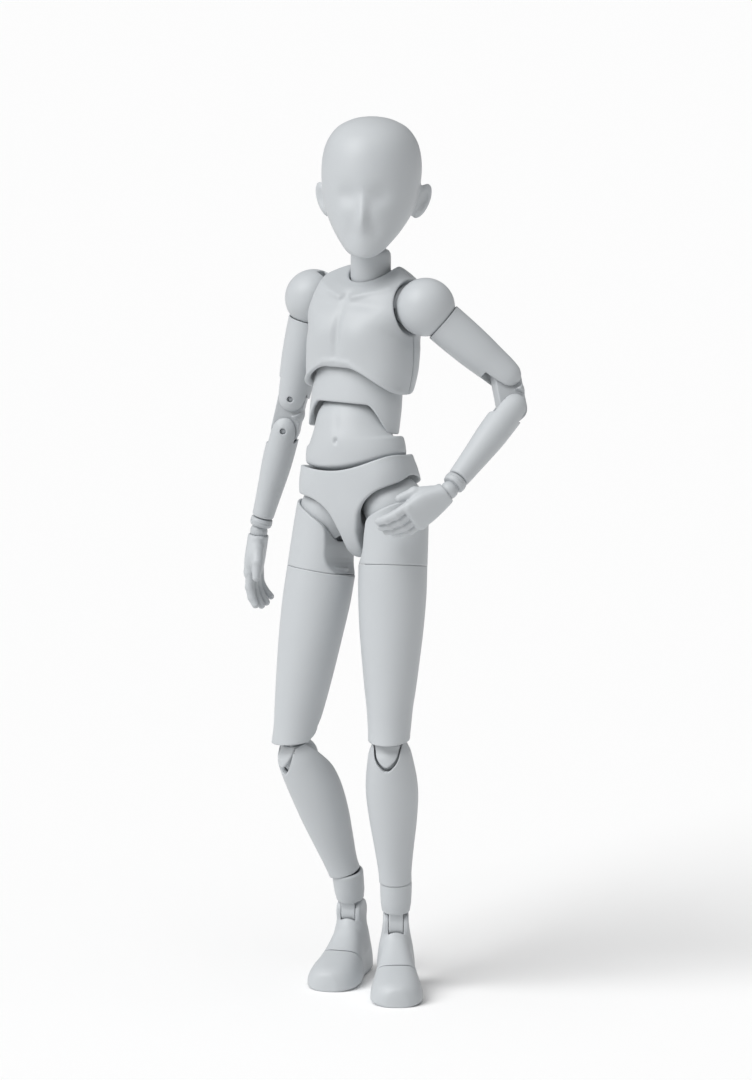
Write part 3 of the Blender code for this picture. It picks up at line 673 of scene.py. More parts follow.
class Skeleton:
    """Works out each body's placing from the joints of the frame."""

    # Rest angles of the head and the hands, which carry no further joint that would show them.
    HEAD_NOD = -5.0
    WRIST_BEND = {Side.LEFT: 24.0, Side.RIGHT: -8.0}

    def __init__(self, joints: Sequence[dict]) -> None:
        """Reads the joints.

        Args:
            joints: The frame's joints.
        """
        self.places = {j["name"]: np.array(j["pos_m"], float) / MM for j in joints}
        self.axes = {j["name"]: np.array(j["axis"], float) for j in joints}
        self.placings: dict[str, Placing] = {}
        self.trunk()
        for side in Side:
            self.arm(side)
            self.leg(side)

    def add(self, body: str, joint: str, anchor: Point, *pairs: tuple[Point, np.ndarray]) -> None:
        """Places a body by a joint and by directions that are known on it.

        Args:
            body: The body.
            joint: A joint that lies on it.
            anchor: The joint's place on the straight figure.
            pairs: Directions on the straight figure with the same directions in the frame.
        """
        spread = np.zeros((3, 3))
        for local, world in pairs:
            a, b = np.array(local, float), np.array(world, float)
            spread += np.outer(b / np.linalg.norm(b), a / np.linalg.norm(a))
        left, _, right = np.linalg.svd(spread)
        fix = np.diag([1, 1, np.linalg.det(left @ right)])
        self.placings[body] = Placing(np.array(anchor, float), self.places[joint], left @ fix @ right)

    def trunk(self) -> None:
        """Places the pelvis, the trunk and the head."""
        x, y, z = np.eye(3)
        axes, places = self.axes, self.places
        self.add("pelvis", "waist_turn", WAIST, (z, axes["waist_turn"]), (x, axes["hip_swing_left"]))
        self.add("waist_ball", "waist_turn", WAIST, (z, axes["waist_turn"]), (x, axes["waist_bend"]))
        self.add("belly", "waist_bend", WAIST, (x, axes["waist_bend"]), (y, axes["spine_tilt"]))
        self.add("spine_ball", "spine_tilt", SPINE, (x, axes["spine_bend"]), (y, axes["spine_tilt"]))
        self.add("mid_torso", "spine_bend", SPINE, (x, axes["spine_bend"]), (z, axes["chest_turn"]))
        self.add("chest_ball", "chest_turn", CHEST, (z, axes["chest_turn"]), (x, axes["neck_lean"]))
        up = places["neck_lean"] - places["chest_turn"]
        self.add("chest", "chest_turn", CHEST, (x, axes["neck_lean"]), (np.subtract(NECK, CHEST), up))
        self.add("neck", "neck_lean", NECK, (x, axes["neck_lean"]), (z, axes["head_turn"]))
        self.add("head_joint", "head_turn", HEAD, (z, axes["head_turn"]), (x, axes["head_nod"]))
        self.placings["head"] = self.placings["head_joint"].turned("X", self.HEAD_NOD)

    def arm(self, side: Side) -> None:
        """Places one arm.

        Args:
            side: Which arm.
        """
        x, y, z = np.eye(3)
        at = {n: self.places[n + side.value] for n in ("arm_turn", "elbow_upper", "elbow_lower")}
        axis = {
            n: self.axes[n + side.value]
            for n in ("shoulder_raise", "elbow_upper", "elbow_lower", "wrist_turn", "wrist_bend")
        }
        down = at["elbow_upper"] - at["arm_turn"]
        link = at["elbow_lower"] - at["elbow_upper"]
        across = self.axes["neck_lean"]
        rows = [
            ("shoulder_hub", "arm_turn", SHOULDER, (x, across), (y, axis["shoulder_raise"])),
            ("deltoid", "arm_turn", SHOULDER, (y, axis["shoulder_raise"]), (-z, down)),
            ("upper_arm", "arm_turn", SHOULDER, (-z, down), (x, axis["elbow_upper"])),
            ("elbow_block", "elbow_upper", ELBOW_UPPER, (x, axis["elbow_upper"]), (-z, link)),
            ("forearm", "elbow_lower", ELBOW_LOWER, (x, axis["elbow_lower"]), (z, axis["wrist_turn"])),
            ("wrist_joint", "wrist_turn", WRIST, (z, axis["wrist_turn"]), (y, axis["wrist_bend"])),
        ]
        self.add_side(side, rows)
        bent = self.placings["wrist_joint" + side.value].turned("Y", self.WRIST_BEND[side])
        self.placings["hand" + side.value] = bent

    def leg(self, side: Side) -> None:
        """Places one leg.

        Args:
            side: Which leg.
        """
        x, y, z = np.eye(3)
        names = ("hip_spread", "thigh_turn", "knee_upper", "knee_lower")
        names += ("ankle_turn", "ankle_tilt", "foot_pitch", "toe_bend")
        axis = {n: self.axes[n + side.value] for n in names}
        link = self.places["knee_lower" + side.value] - self.places["knee_upper" + side.value]
        rows = [
            ("hip_ball", "hip_swing", HIP, (x, self.axes["hip_swing_left"]), (y, axis["hip_spread"])),
            ("thigh_top", "hip_spread", HIP, (y, axis["hip_spread"]), (z, axis["thigh_turn"])),
            ("thigh", "thigh_turn", HIP, (z, axis["thigh_turn"]), (x, axis["knee_upper"])),
            ("knee_block", "knee_upper", KNEE_UPPER, (x, axis["knee_upper"]), (-z, link)),
            ("shin", "knee_lower", KNEE_LOWER, (x, axis["knee_lower"]), (z, axis["ankle_turn"])),
            ("ankle_post", "ankle_turn", ANKLE, (z, axis["ankle_turn"]), (y, axis["ankle_tilt"])),
            ("ankle_cuff", "ankle_tilt", ANKLE, (y, axis["ankle_tilt"]), (x, axis["foot_pitch"])),
            ("foot", "foot_pitch", FOOT, (x, axis["foot_pitch"]), (z, z)),
            ("toe", "toe_bend", TOE, (x, axis["toe_bend"]), (z, z)),
        ]
        self.add_side(side, rows)

    def add_side(self, side: Side, rows: Sequence[tuple]) -> None:
        """Places bodies that are given for the left side.

        Args:
            side: Which side they are wanted for.
            rows: A body, its joint, its anchor and its pairs of directions.
        """
        flip = -1 if side is Side.RIGHT else 1
        for body, joint, anchor, *pairs in rows:
            at = (anchor[0] * flip, anchor[1], anchor[2])
            self.add(body + side.value, joint + side.value, at, *pairs)


@dataclass(frozen=True)
class Value:
    """A node's output that can be used in arithmetic, for materials and for Geometry Nodes."""

    web: "Web"
    socket: bpy.types.NodeSocket

    def maths(self, operation: str, other: object = 0.0) -> "Value":
        """One Math node with this value and a second number or value."""
        return self.web.node("ShaderNodeMath", {"operation": operation}, {0: self, 1: other})

    def __add__(self, other: object) -> "Value":
        """Adds."""
        return self.maths("ADD", other)

    __radd__ = __add__

    def __sub__(self, other: object) -> "Value":
        """Takes away."""
        return self.maths("SUBTRACT", other)

    def __mul__(self, other: object) -> "Value":
        """Multiplies."""
        return self.maths("MULTIPLY", other)


class Web:
    """A tree of nodes that is built in the script."""

    tree: bpy.types.NodeTree

    def node(self, kind: str, settings: dict, inputs: dict, output: object = 0) -> Value:
        """Makes a node.

        Args:
            kind: Its type.
            settings: Its properties.
            inputs: Its inputs, as plain values or outputs of other nodes, by name or number.
            output: Name or number of the output that is wanted.

        Returns:
            That output.
        """
        node = self.tree.nodes.new(kind)
        for key, value in settings.items():
            setattr(node, key, value)
        for key, value in inputs.items():
            self.feed(node.inputs[key], value)
        return Value(self, node.outputs[output])

    def feed(self, socket: bpy.types.NodeSocket, value: object) -> None:
        """Sets an input or links it.

        Args:
            socket: The input.
            value: A plain value or another node's output.
        """
        if isinstance(value, Value):
            self.tree.links.new(value.socket, socket)
        else:
            socket.default_value = value


class Shader(Web):
    """Builds the nodes of one material, or of the air round the scene."""

    def __init__(self, name: str, world: bool = False) -> None:
        """Starts it.

        Args:
            name: Its name.
            world: Whether it is the air.
        """
        self.material = bpy.data.worlds.new(name) if world else bpy.data.materials.new(name)
        self.material.use_nodes = True
        self.tree = self.material.node_tree
        self.surface = self.tree.nodes["Background" if world else "Principled BSDF"]

    def paint(self, inputs: dict) -> None:
        """Sets inputs of the surface or of the air to plain values or outputs of other nodes."""
        for key, value in inputs.items():
            self.feed(self.surface.inputs[key], value)


@dataclass(frozen=True)
class Finish:
    """A moulded plastic finish."""

    name: str
    colour: tuple[float, float, float]
    roughness: float
    mottle: float = 0.02
    grain: float = 0.12

    def material(self) -> bpy.types.Material:
        """Builds the material.

        Returns:
            The material.
        """
        shader = Shader(self.name)
        place = {"Vector": shader.node("ShaderNodeTexCoord", {}, {}, "Object")}
        coarse = {"Scale": 170.0, "Detail": 3.0, "Roughness": 0.5}
        fine = {"Scale": 5200.0, "Detail": 2.0, "Roughness": 0.6}
        cloud = shader.node("ShaderNodeTexNoise", {}, place | coarse)
        grit = shader.node("ShaderNodeTexNoise", {}, place | fine)
        shares = (1 - self.mottle, 1 + self.mottle)
        dark, light = ((*(c * share for c in self.colour), 1) for share in shares)
        tones = {0: cloud * 0.8 + grit * 0.2, 6: dark, 7: light}
        bumps = {"Strength": self.grain, "Distance": 0.00003, "Height": grit}
        shader.paint({
            "Base Color": shader.node("ShaderNodeMix", {"data_type": "RGBA"}, tones, 2),
            "Roughness": self.roughness + (cloud - 0.5) * 0.1 + (grit - 0.5) * 0.06,
            "Normal": shader.node("ShaderNodeBump", {}, bumps, "Normal"),
            "Specular IOR Level": 0.4,
        })
        return shader.material


class Bench:
    """Makes pieces from forms, finishes them and puts them on their bodies."""

    FINISHES = {
        Slot.SHELL: Finish("shell_plastic", (0.505, 0.528, 0.546), 0.46),
        Slot.INNER: Finish("inner_plastic", (0.47, 0.492, 0.51), 0.44),
        Slot.PIN: Finish("pin_plastic", (0.40, 0.42, 0.44), 0.4),
    }

    # Edge of a face: on most pieces, and on those with finer forms.
    FACE = 0.17
    FINER_FACES = {
        "head": 0.15,
        "deltoid": 0.14,
        "upper_arm": 0.14,
        "forearm": 0.14,
        "elbow_block": 0.12,
        "hand": 0.12,
        "hip_ball": 0.16,
        "thigh": 0.145,
        "shin": 0.15,
        "knee_block": 0.12,
        "ankle_cuff": 0.12,
        "foot": 0.14,
        "toe": 0.14,
    }

    def __init__(self, skeleton: Skeleton) -> None:
        """Prepares the materials.

        Args:
            skeleton: Gives the placings.
        """
        self.skeleton = skeleton
        self.materials = {slot: finish.material() for slot, finish in self.FINISHES.items()}
        self.faces = 0

    def body_of(self, node: str) -> str:
        """The body that a CAD node belongs to.

        Args:
            node: The node.

        Returns:
            The body.
        """
        for body, nodes in frame["record"]["behaviour"]["bodies"].items():
            if node in nodes:
                return body
        raise KeyError(node)

    def surface(self, name: str, form: Form) -> tuple[np.ndarray, np.ndarray]:
        """The vertices and faces of a form, as fine as the piece of this name needs."""
        return Mesher(self.FINER_FACES.get(name, self.FACE)).surface(form)

    def moulded(self, node: str, form: Form) -> None:
        """Makes a piece of the trunk or the head, in place of its CAD node."""
        self.place(node, *self.surface(node, form), Slot.SHELL)

    def pair(self, name: str, form: Form, slot: Slot = Slot.SHELL) -> None:
        """Makes a piece of both sides from the left one's form.

        Args:
            name: The CAD node's name without its side.
            form: The left one's form.
            slot: Its material slot.
        """
        points, faces = self.surface(name, form)
        self.place(name + Side.LEFT.value, points, faces, slot)
        self.place(name + Side.RIGHT.value, points * [-1, 1, 1], faces[:, ::-1], slot)

    def place(self, node: str, points: np.ndarray, faces: np.ndarray, slot: Slot) -> None:
        """Puts a finished surface in its place.

        Args:
            node: The CAD node that it stands for.
            points: Its vertices on the straight figure.
            faces: Its faces.
            slot: Its material slot.
        """
        body = self.body_of(node)
        spots = self.skeleton.placings[body].carry(points)
        mesh = bpy.data.meshes.new(node + "_form")
        mesh.vertices.add(len(spots))
        mesh.vertices.foreach_set("co", spots.astype(np.float32).ravel())
        mesh.loops.add(faces.size)
        mesh.loops.foreach_set("vertex_index", faces.astype(np.int32).ravel())
        mesh.polygons.add(len(faces))
        mesh.polygons.foreach_set("loop_start", np.arange(0, faces.size, 4, dtype=np.int32))
        mesh.update(calc_edges=True)
        mesh.shade_smooth()
        mesh.materials.append(self.materials[slot])
        piece = bpy.data.objects.new("moulded_" + node, mesh)
        bpy.context.scene.collection.objects.link(piece)
        self.hand_over(piece, body, node, slot)

    def hand_over(self, piece: bpy.types.Object, body: str, node: str, slot: Slot) -> None:
        """Puts a piece on its body in place of its CAD node.

        Args:
            piece: The piece.
            body: Its body.
            node: The CAD node that it stands for.
            slot: Its material slot; not used.
        """
        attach(piece, body)
        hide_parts(node)
        self.faces += len(piece.data.polygons)
        LOG.info("%s: %d faces", piece.name, len(piece.data.polygons))


class Growth(Web):
    """A Geometry Nodes tree that is built in the script."""

    CREASE = 42

    def __init__(self, name: str, inputs: dict[str, str]) -> None:
        """Starts a tree with a geometry input, named inputs and a geometry output.

        Args:
            name: Its name.
            inputs: The socket type of each named input.
        """
        self.tree = bpy.data.node_groups.new(name, "GeometryNodeTree")
        face = self.tree.interface
        face.new_socket("Geometry", in_out="INPUT", socket_type="NodeSocketGeometry")
        self.keys = {
            key: face.new_socket(key, in_out="INPUT", socket_type=kind).identifier
            for key, kind in inputs.items()
        }
        face.new_socket("Geometry", in_out="OUTPUT", socket_type="NodeSocketGeometry")
        self.start = self.tree.nodes.new("NodeGroupInput")
        self.end = self.tree.nodes.new("NodeGroupOutput")

    def given(self, name: str) -> Value:
        """One of the tree's inputs as a value."""
        return Value(self, self.start.outputs[name])

    def attribute(self, name: str, kind: str) -> Value:
        """An attribute of the base mesh, of this data type, as a value."""
        return self.node("GeometryNodeInputNamedAttribute", {"data_type": kind}, {"Name": name})

    def sweep(self, line: Value, sides: object, radius: Value) -> Value:
        """A round bar along a line.

        Args:
            line: The line.
            sides: How many sides the bar has.
            radius: Its radius at each point of the line.

        Returns:
            The bar.
        """
        ring = {"Resolution": sides, "Radius": 1.0}
        circle = self.node("GeometryNodeCurvePrimitiveCircle", {"mode": "RADIUS"}, ring)
        inputs = {"Curve": line, "Profile Curve": circle, "Scale": radius, "Fill Caps": True}
        return self.node("GeometryNodeCurveToMesh", {}, inputs)

    def close(self, geometry: Value) -> None:
        """Ends the tree: realises instances, smooths and sets the material.

        Args:
            geometry: What the tree made.
        """
        real = self.node("GeometryNodeRealizeInstances", {}, {"Geometry": geometry})
        smooth = self.node("GeometryNodeSetShadeSmooth", {}, {"Geometry": real})
        paint = {"Geometry": smooth, "Material": self.given("Material")}
        self.feed(self.end.inputs[0], self.node("GeometryNodeSetMaterial", {}, paint))

    def grow(self, name: str, base: bpy.types.Mesh, values: dict) -> bpy.types.Object:
        """Runs the tree on a base mesh and keeps the result as a plain mesh.

        Args:
            name: Name of the piece.
            base: The mesh that the tree reads.
            values: The named inputs.

        Returns:
            The piece.
        """
        piece = bpy.data.objects.new(name, base)
        bpy.context.scene.collection.objects.link(piece)
        change = piece.modifiers.new("growth", "NODES")
        change.node_group = self.tree
        for key, value in values.items():
            change[self.keys[key]] = value
        graph = bpy.context.evaluated_depsgraph_get()
        graph.update()
        made = bpy.data.meshes.new_from_object(piece.evaluated_get(graph), depsgraph=graph)
        piece.modifiers.remove(change)
        piece.data = made
        made.set_sharp_from_angle(angle=math.radians(self.CREASE))
        return piece


class TurnedPieces:
    """Round pieces that are turned about an axis: neck, hubs, cuffs, posts and balls."""

    SIDES = 56
    THINNEST = 0.02

    def __init__(self, bench: Bench) -> None:
        """Builds the tree.

        Args:
            bench: Places the pieces.
        """
        self.bench = bench
        growth = Growth("turned_piece", {"Sides": "NodeSocketInt", "Material": "NodeSocketMaterial"})
        line = growth.node("GeometryNodeMeshToCurve", {}, {"Mesh": growth.given("Geometry")})
        growth.close(growth.sweep(line, growth.given("Sides"), growth.attribute("radius", "FLOAT")))
        self.growth = growth

    def turn(self, node: str, profile: Sequence[Point], centre: Point, axis: str, slot: Slot) -> None:
        """Turns one piece.

        Args:
            node: The CAD node that it stands for.
            profile: (distance along the axis, radius) pairs.
            centre: A point on the axis of the straight figure.
            axis: X or Z.
            slot: Its material slot.
        """
        body = self.bench.body_of(node)
        spots = np.tile(np.array(centre, float), (len(profile), 1))
        spots[:, "XYZ".index(axis)] += [pair[0] for pair in profile]
        spots = self.bench.skeleton.placings[body].carry(spots)
        base = bpy.data.meshes.new(node + "_line")
        base.from_pydata(spots.tolist(), [(i, i + 1) for i in range(len(spots) - 1)], [])
        radius = base.attributes.new("radius", "FLOAT", "POINT")
        radius.data.foreach_set("value", [max(pair[1], self.THINNEST) * MM for pair in profile])
        values = {"Sides": self.SIDES, "Material": self.bench.materials[slot]}
        piece = self.growth.grow("turned_" + node, base, values)
        self.bench.hand_over(piece, body, node, slot)

    def turn_pair(self, node: str, profile: Sequence[Point], centre: Point, axis: str, slot: Slot) -> None:
        """Turns a piece for both sides.

        Args:
            node: The CAD node's name without its side.
            profile: (distance along the axis, radius) pairs of the left one.
            centre: A point on the left one's axis.
            axis: X or Z.
            slot: Their material slot.
        """
        self.turn(node + Side.LEFT.value, profile, centre, axis, slot)
        flip = -1 if axis == "X" else 1
        other = [(along * flip, radius) for along, radius in profile]
        self.turn(node + Side.RIGHT.value, other, (-centre[0], centre[1], centre[2]), axis, slot)

    def build(self) -> None:
        """Turns all of them but the neck."""
        size, groove = TRUNK_BALL, TRUNK_BALL - 0.08
        seam = [(-0.12, size), (-0.06, groove), (0.06, groove), (0.12, size)]
        trunk = arc(size, 176, 94, 14) + seam + arc(size, 86, 4, 14)
        for node, centre in (("waist_ball", WAIST), ("spine_ball", SPINE), ("chest_ball", CHEST)):
            self.turn(node, trunk, centre, "Z", Slot.INNER)
        axle = [(-3.3, 0.8), (-3.1, 1.0), (3.1, 1.0), (3.3, 0.8)]
        self.turn("hip_axle", axle, (0, 0, HIP[2]), "X", Slot.PIN)
        stem = [(-6.0, 0.8), (-5.85, 0.95), (-2.0, 0.95)] + arc(size, 152, 3, 24)
        self.turn("head_joint", stem, HEAD, "Z", Slot.INNER)
        hub = [(-7.2, 1.1), (-7.1, 1.2), (-4.78, 1.25), (-4.62, 1.5)]
        hub += arc(4.87, 160, 139, 8) + arc(4.66, 138, 158, 6)
        hub += [(-4.3, 0.7), (-1.3, 0.7)] + arc(1.4, 150, 4, 14)
        self.turn_pair("shoulder_hub", hub, SHOULDER, "X", Slot.INNER)
        cuff = arc(1.36, 176, 50, 12) + [(0.94, 1.4), (0.99, 1.56), (1.1, 1.64), (1.5, 1.72)]
        cuff += [(1.56, 1.66), (1.66, 1.66), (1.72, 1.72), (2.1, 1.66), (2.2, 1.58), (2.25, 1.3)]
        cuff += [(2.25, 0.75), (5.1, 0.75), (5.2, 0.65)]
        self.turn_pair("wrist_joint", cuff, WRIST, "Z", Slot.INNER)
        post = arc(1.3, 176, 20, 16) + [(1.4, 0.4), (3.3, 0.4), (3.5, 0.8), (6.1, 0.8), (6.2, 0.7)]
        self.turn_pair("ankle_post", post, ANKLE, "Z", Slot.INNER)


class Pins:
    """The hinge pins, each a small bar with rounded ends that is set on its axis."""

    SIDES = 28
    RINGS = 49
    ROUNDED_FROM = 0.9
    ROUNDING = 60.0

    def __init__(self, bench: Bench) -> None:
        """Builds the tree.

        Args:
            bench: Places the pieces.
        """
        self.bench = bench
        kinds = {"Length": "NodeSocketFloat", "Radius": "NodeSocketFloat", "Material": "NodeSocketMaterial"}
        growth = Growth("hinge_pins", kinds)
        half = growth.given("Length") * 0.5
        ends = {
            key: growth.node("ShaderNodeCombineXYZ", {}, {"Z": height})
            for key, height in (("End", half), ("Start", half * -1.0))
        }
        line = growth.node("GeometryNodeCurvePrimitiveLine", {}, ends)
        fine = growth.node("GeometryNodeResampleCurve", {}, {"Curve": line, "Count": self.RINGS})
        factor = growth.node("GeometryNodeSplineParameter", {}, {}, "Factor")
        off = (factor * 2.0 - 1.0).maths("ABSOLUTE")
        past = (off - self.ROUNDED_FROM).maths("MAXIMUM")
        radius = growth.given("Radius") * (past * past * -self.ROUNDING + 1.0)
        axis = growth.attribute("axis", "FLOAT_VECTOR")
        spread = {
            "Points": growth.given("Geometry"),
            "Instance": growth.sweep(fine, self.SIDES, radius),
            "Rotation": growth.node("FunctionNodeAlignRotationToVector", {"axis": "Z"}, {"Vector": axis}),
        }
        growth.close(growth.node("GeometryNodeInstanceOnPoints", {}, spread))
        self.growth = growth

    def build(self) -> None:
        """Sets every pin: its hinge, its axis, where it starts and ends on that, and its radius."""
        rows = [
            ("elbow_upper_pin", ELBOW_UPPER, "X", -2.1, 1.8, ELBOW_PIN_RADIUS),
            ("elbow_lower_pin", ELBOW_LOWER, "X", -2.0, 1.8, ELBOW_PIN_RADIUS),
            ("hip_pin", HIP, "Y", -3.9, 3.9, PIN_RADIUS),
            ("knee_upper_pin", KNEE_UPPER, "X", -2.7, 2.7, PIN_RADIUS),
            ("knee_lower_pin", KNEE_LOWER, "X", -2.7, 2.7, PIN_RADIUS),
            ("ankle_pin", FOOT, "X", -1.6, 1.6, PIN_RADIUS),
            ("toe_pin", TOE, "X", -2.5, 2.5, PIN_RADIUS),
        ]
        for node, joint, letter, low, high, radius in rows:
            centre = list(joint)
            centre["XYZ".index(letter)] += (low + high) / 2
            for side in Side:
                self.pin(node + side.value, side, centre, letter, (high - low, radius))

    def pin(self, node: str, side: Side, centre: Point, letter: str, size: Point) -> None:
        """Sets one pin.

        Args:
            node: The CAD node that it stands for.
            side: Its side.
            centre: Its middle on the left side of the straight figure.
            letter: Its axis.
            size: Its length and radius.
        """
        body = self.bench.body_of(node)
        placing = self.bench.skeleton.placings[body]
        flip = -1 if side is Side.RIGHT else 1
        spot = placing.carry(np.array([[centre[0] * flip, centre[1], centre[2]]]))
        base = bpy.data.meshes.new(node + "_point")
        base.from_pydata(spot.tolist(), [], [])
        axis = base.attributes.new("axis", "FLOAT_VECTOR", "POINT")
        axis.data.foreach_set("vector", placing.turn[:, "XYZ".index(letter)])
        values = {"Length": size[0] * MM, "Radius": size[1] * MM}
        piece = self.growth.grow("pin_" + node, base, values | {"Material": self.bench.materials[Slot.PIN]})
        self.bench.hand_over(piece, body, node, Slot.PIN)


@dataclass
class Assembly:
    """Pieces that are made together, on the bench that places them."""

    bench: Bench


@dataclass
class Head(Assembly):
    """The head with its plain mannequin's face, and the neck."""

    ball: float = 2.45
    neck: float = 3.05
    neck_ball: float = 2.9

    def face(self, p: np.ndarray) -> np.ndarray:
        """How far the face stands out.

        Args:
            p: Points.

        Returns:
            The heights.
        """
        nose = [(0.65, 0, 119.9, 0.85, 2.3), (0.35, 0, 118.8, 1.0, 1.4), (-0.12, 0, 123.4, 1.2, 1.0)]
        eyes = [(-0.52, 2.35, 122.9, 1.75, 1.5)]
        cheeks = [(0.12, 2.9, 120.1, 1.7, 1.6), (-0.15, 1.9, 117.4, 0.9, 1.3)]
        chin = [(0.12, 0, 115.6, 1.6, 0.9)]
        return relief(p, nose + eyes + cheeks + chin) * ahead(p, -2.0, 3.0)

    def form(self) -> Form:
        """The head's form.

        Returns:
            The form.
        """
        stations = [
            (113.5, 0.6, -7.7, -6.3),
            (113.75, 1.5, -8.15, -5.2),
            (114.5, 2.65, -8.4, -3.5),
            (115.8, 3.75, -8.5, -1.4),
            (117.5, 4.95, -8.6, 1.4),
            (119.5, 6.05, -8.6, 4.3),
            (121.5, 6.85, -8.6, 6.4),
            (124.0, 7.35, -8.6, 8.05),
            (127.0, 7.55, -8.4, 8.85),
            (129.5, 7.3, -7.9, 8.65),
            (131.5, 6.6, -6.9, 7.9),
            (133.2, 5.3, -5.2, 6.3),
            (134.2, 3.6, -3.4, 4.4),
            (134.7, 2.0, -1.8, 2.6),
            (134.88, 0.4, -0.1, 0.9),
        ]
        spot = (7.45, 1.9, 122.3)
        ear = egg(spot, (1.2, 0.8, 2.6)).cut(egg((7.85, 1.1, 122.5), (0.6, 0.5, 1.55)), 0.3)
        ear = ear.lean(spot, 0.3, 0.55)
        hollow = arc(self.ball, 0, 118, 16) + [(-5.5, 9.0)]
        form = hull(stations, edge=0.3).swell(self.face)
        form = form.join(ear.both_sides(), 0.8)
        return form.cut(lathe(hollow, HEAD), 0.5)

    def build(self, turned: TurnedPieces) -> None:
        """Makes the head and the neck.

        Args:
            turned: Turns the neck.
        """
        self.bench.moulded("head", self.form())
        column = arc(self.neck_ball, 176, 84, 16) + [(0.55, 2.93), (1.3, self.neck), (4.3, self.neck)]
        column += [(4.8, 2.98), (5.2, 2.74), (5.85, 1.6), (5.95, 1.3), (5.9, 1.15), (1.6, 1.1)]
        turned.turn("neck", column, NECK, "Z", Slot.SHELL)


@dataclass
class Chest(Assembly):
    """The chest shell in its two halves."""

    split: float = 1.5
    seam: float = 0.12
    armhole: float = 5.0

    def relief(self, p: np.ndarray) -> np.ndarray:
        """Collar bones, breast and back.

        Args:
            p: Points.

        Returns:
            The heights.
        """
        x, z = np.abs(p[:, 0]), p[:, 2]
        breast = [(0.42, 3.9, 101.6, 3.0, 2.7), (-0.45, 0, 101.8, 0.7, 3.8)]
        throat = [(-0.32, 0, 107.7, 0.8, 0.9), (-0.3, 3.6, 106.3, 3.2, 0.9)]
        blades = [(0.4, 4.4, 102.8, 2.2, 3.2), (-0.4, 0, 101, 0.8, 6.5)]
        front = relief(p, breast + throat)
        front += 0.42 * ridge(x, z, [(1.2, 107.4), (3.0, 108.1), (6.5, 109.4)], 0.55)
        front += 0.24 * ridge(x, z, [(0, 97.6), (2.4, 97.4), (8.5, 93.9)], 0.45)
        return front * ahead(p, 0.5, 2.5) + relief(p, blades) * np.clip((p[:, 1] - 2.5) / 2, 0, 1)

    def shell(self) -> Form:
        """The whole shell, before it is split.

        Returns:
            The form.
        """
        stations = [
            (91.0, 8.1, -5.65, 5.6),
            (94.0, 8.55, -5.9, 6.3),
            (97.0, 8.85, -6.2, 6.9),
            (100.0, 8.75, -6.6, 7.2),
            (102.3, 8.5, -6.7, 7.2),
            (104.5, 9.3, -6.2, 6.9),
            (107.5, 9.5, -4.9, 6.4),
            (110.0, 8.5, -3.5, 5.5),
            (111.5, 6.5, -2.7, 4.9),
            (112.6, 4.4, -2.4, 4.3),
        ]
        hollow = [
            (88.0, 7.6, -5.2, 5.0),
            (95.0, 7.75, -5.5, 5.3),
            (98.0, 7.7, -5.5, 5.3),
            (100.5, 6.8, -4.7, 4.7),
            (102.3, 4.6, -3.3, 3.5),
        ]
        edge = arch(2.0, 10.2, 1.7, 96.7, -5.3) + [(10.2, 80), (-10.2, 80)]
        collar = arc(3.15, 180, 90, 10) + [(1.0, 3.35), (4.5, 4.3)]
        form = hull(stations, power=2.5).swell(self.relief)
        form = form.cut(hull(hollow, power=2.4), 0.3).join(rod(CHEST, "Z", 0.4, 4.5, 3.1), 0.3)
        form = form.sockets(CHEST).cut(prism(edge, "Y", -FAR, FAR), 0.42)
        slant = [(-9, 105.5), (-2.6, 109.7), (0.6, 111.9), (2.4, 113.2), (9, 119), (9, 122), (-9, 122)]
        form = form.cut(prism(slant, "X", -FAR, FAR), 0.7)
        form = form.cut(lathe(collar, NECK), 0.35).cut(ball(SHOULDER, self.armhole).both_sides(), 0.4)
        return form.cut(rod(SHOULDER, "X", -7.4, 0, 1.4).both_sides())

    def build(self) -> None:
        """Makes the two halves."""
        shell = self.shell()
        front = block((-FAR, -FAR, 80), (FAR, self.split, 118), 0.01)
        back = block((-FAR, self.split + self.seam, 80), (FAR, FAR, 118), 0.01)
        self.bench.moulded("chest_front", shell.keep(front, 0.15))
        self.bench.moulded("chest_back", shell.keep(back, 0.15))


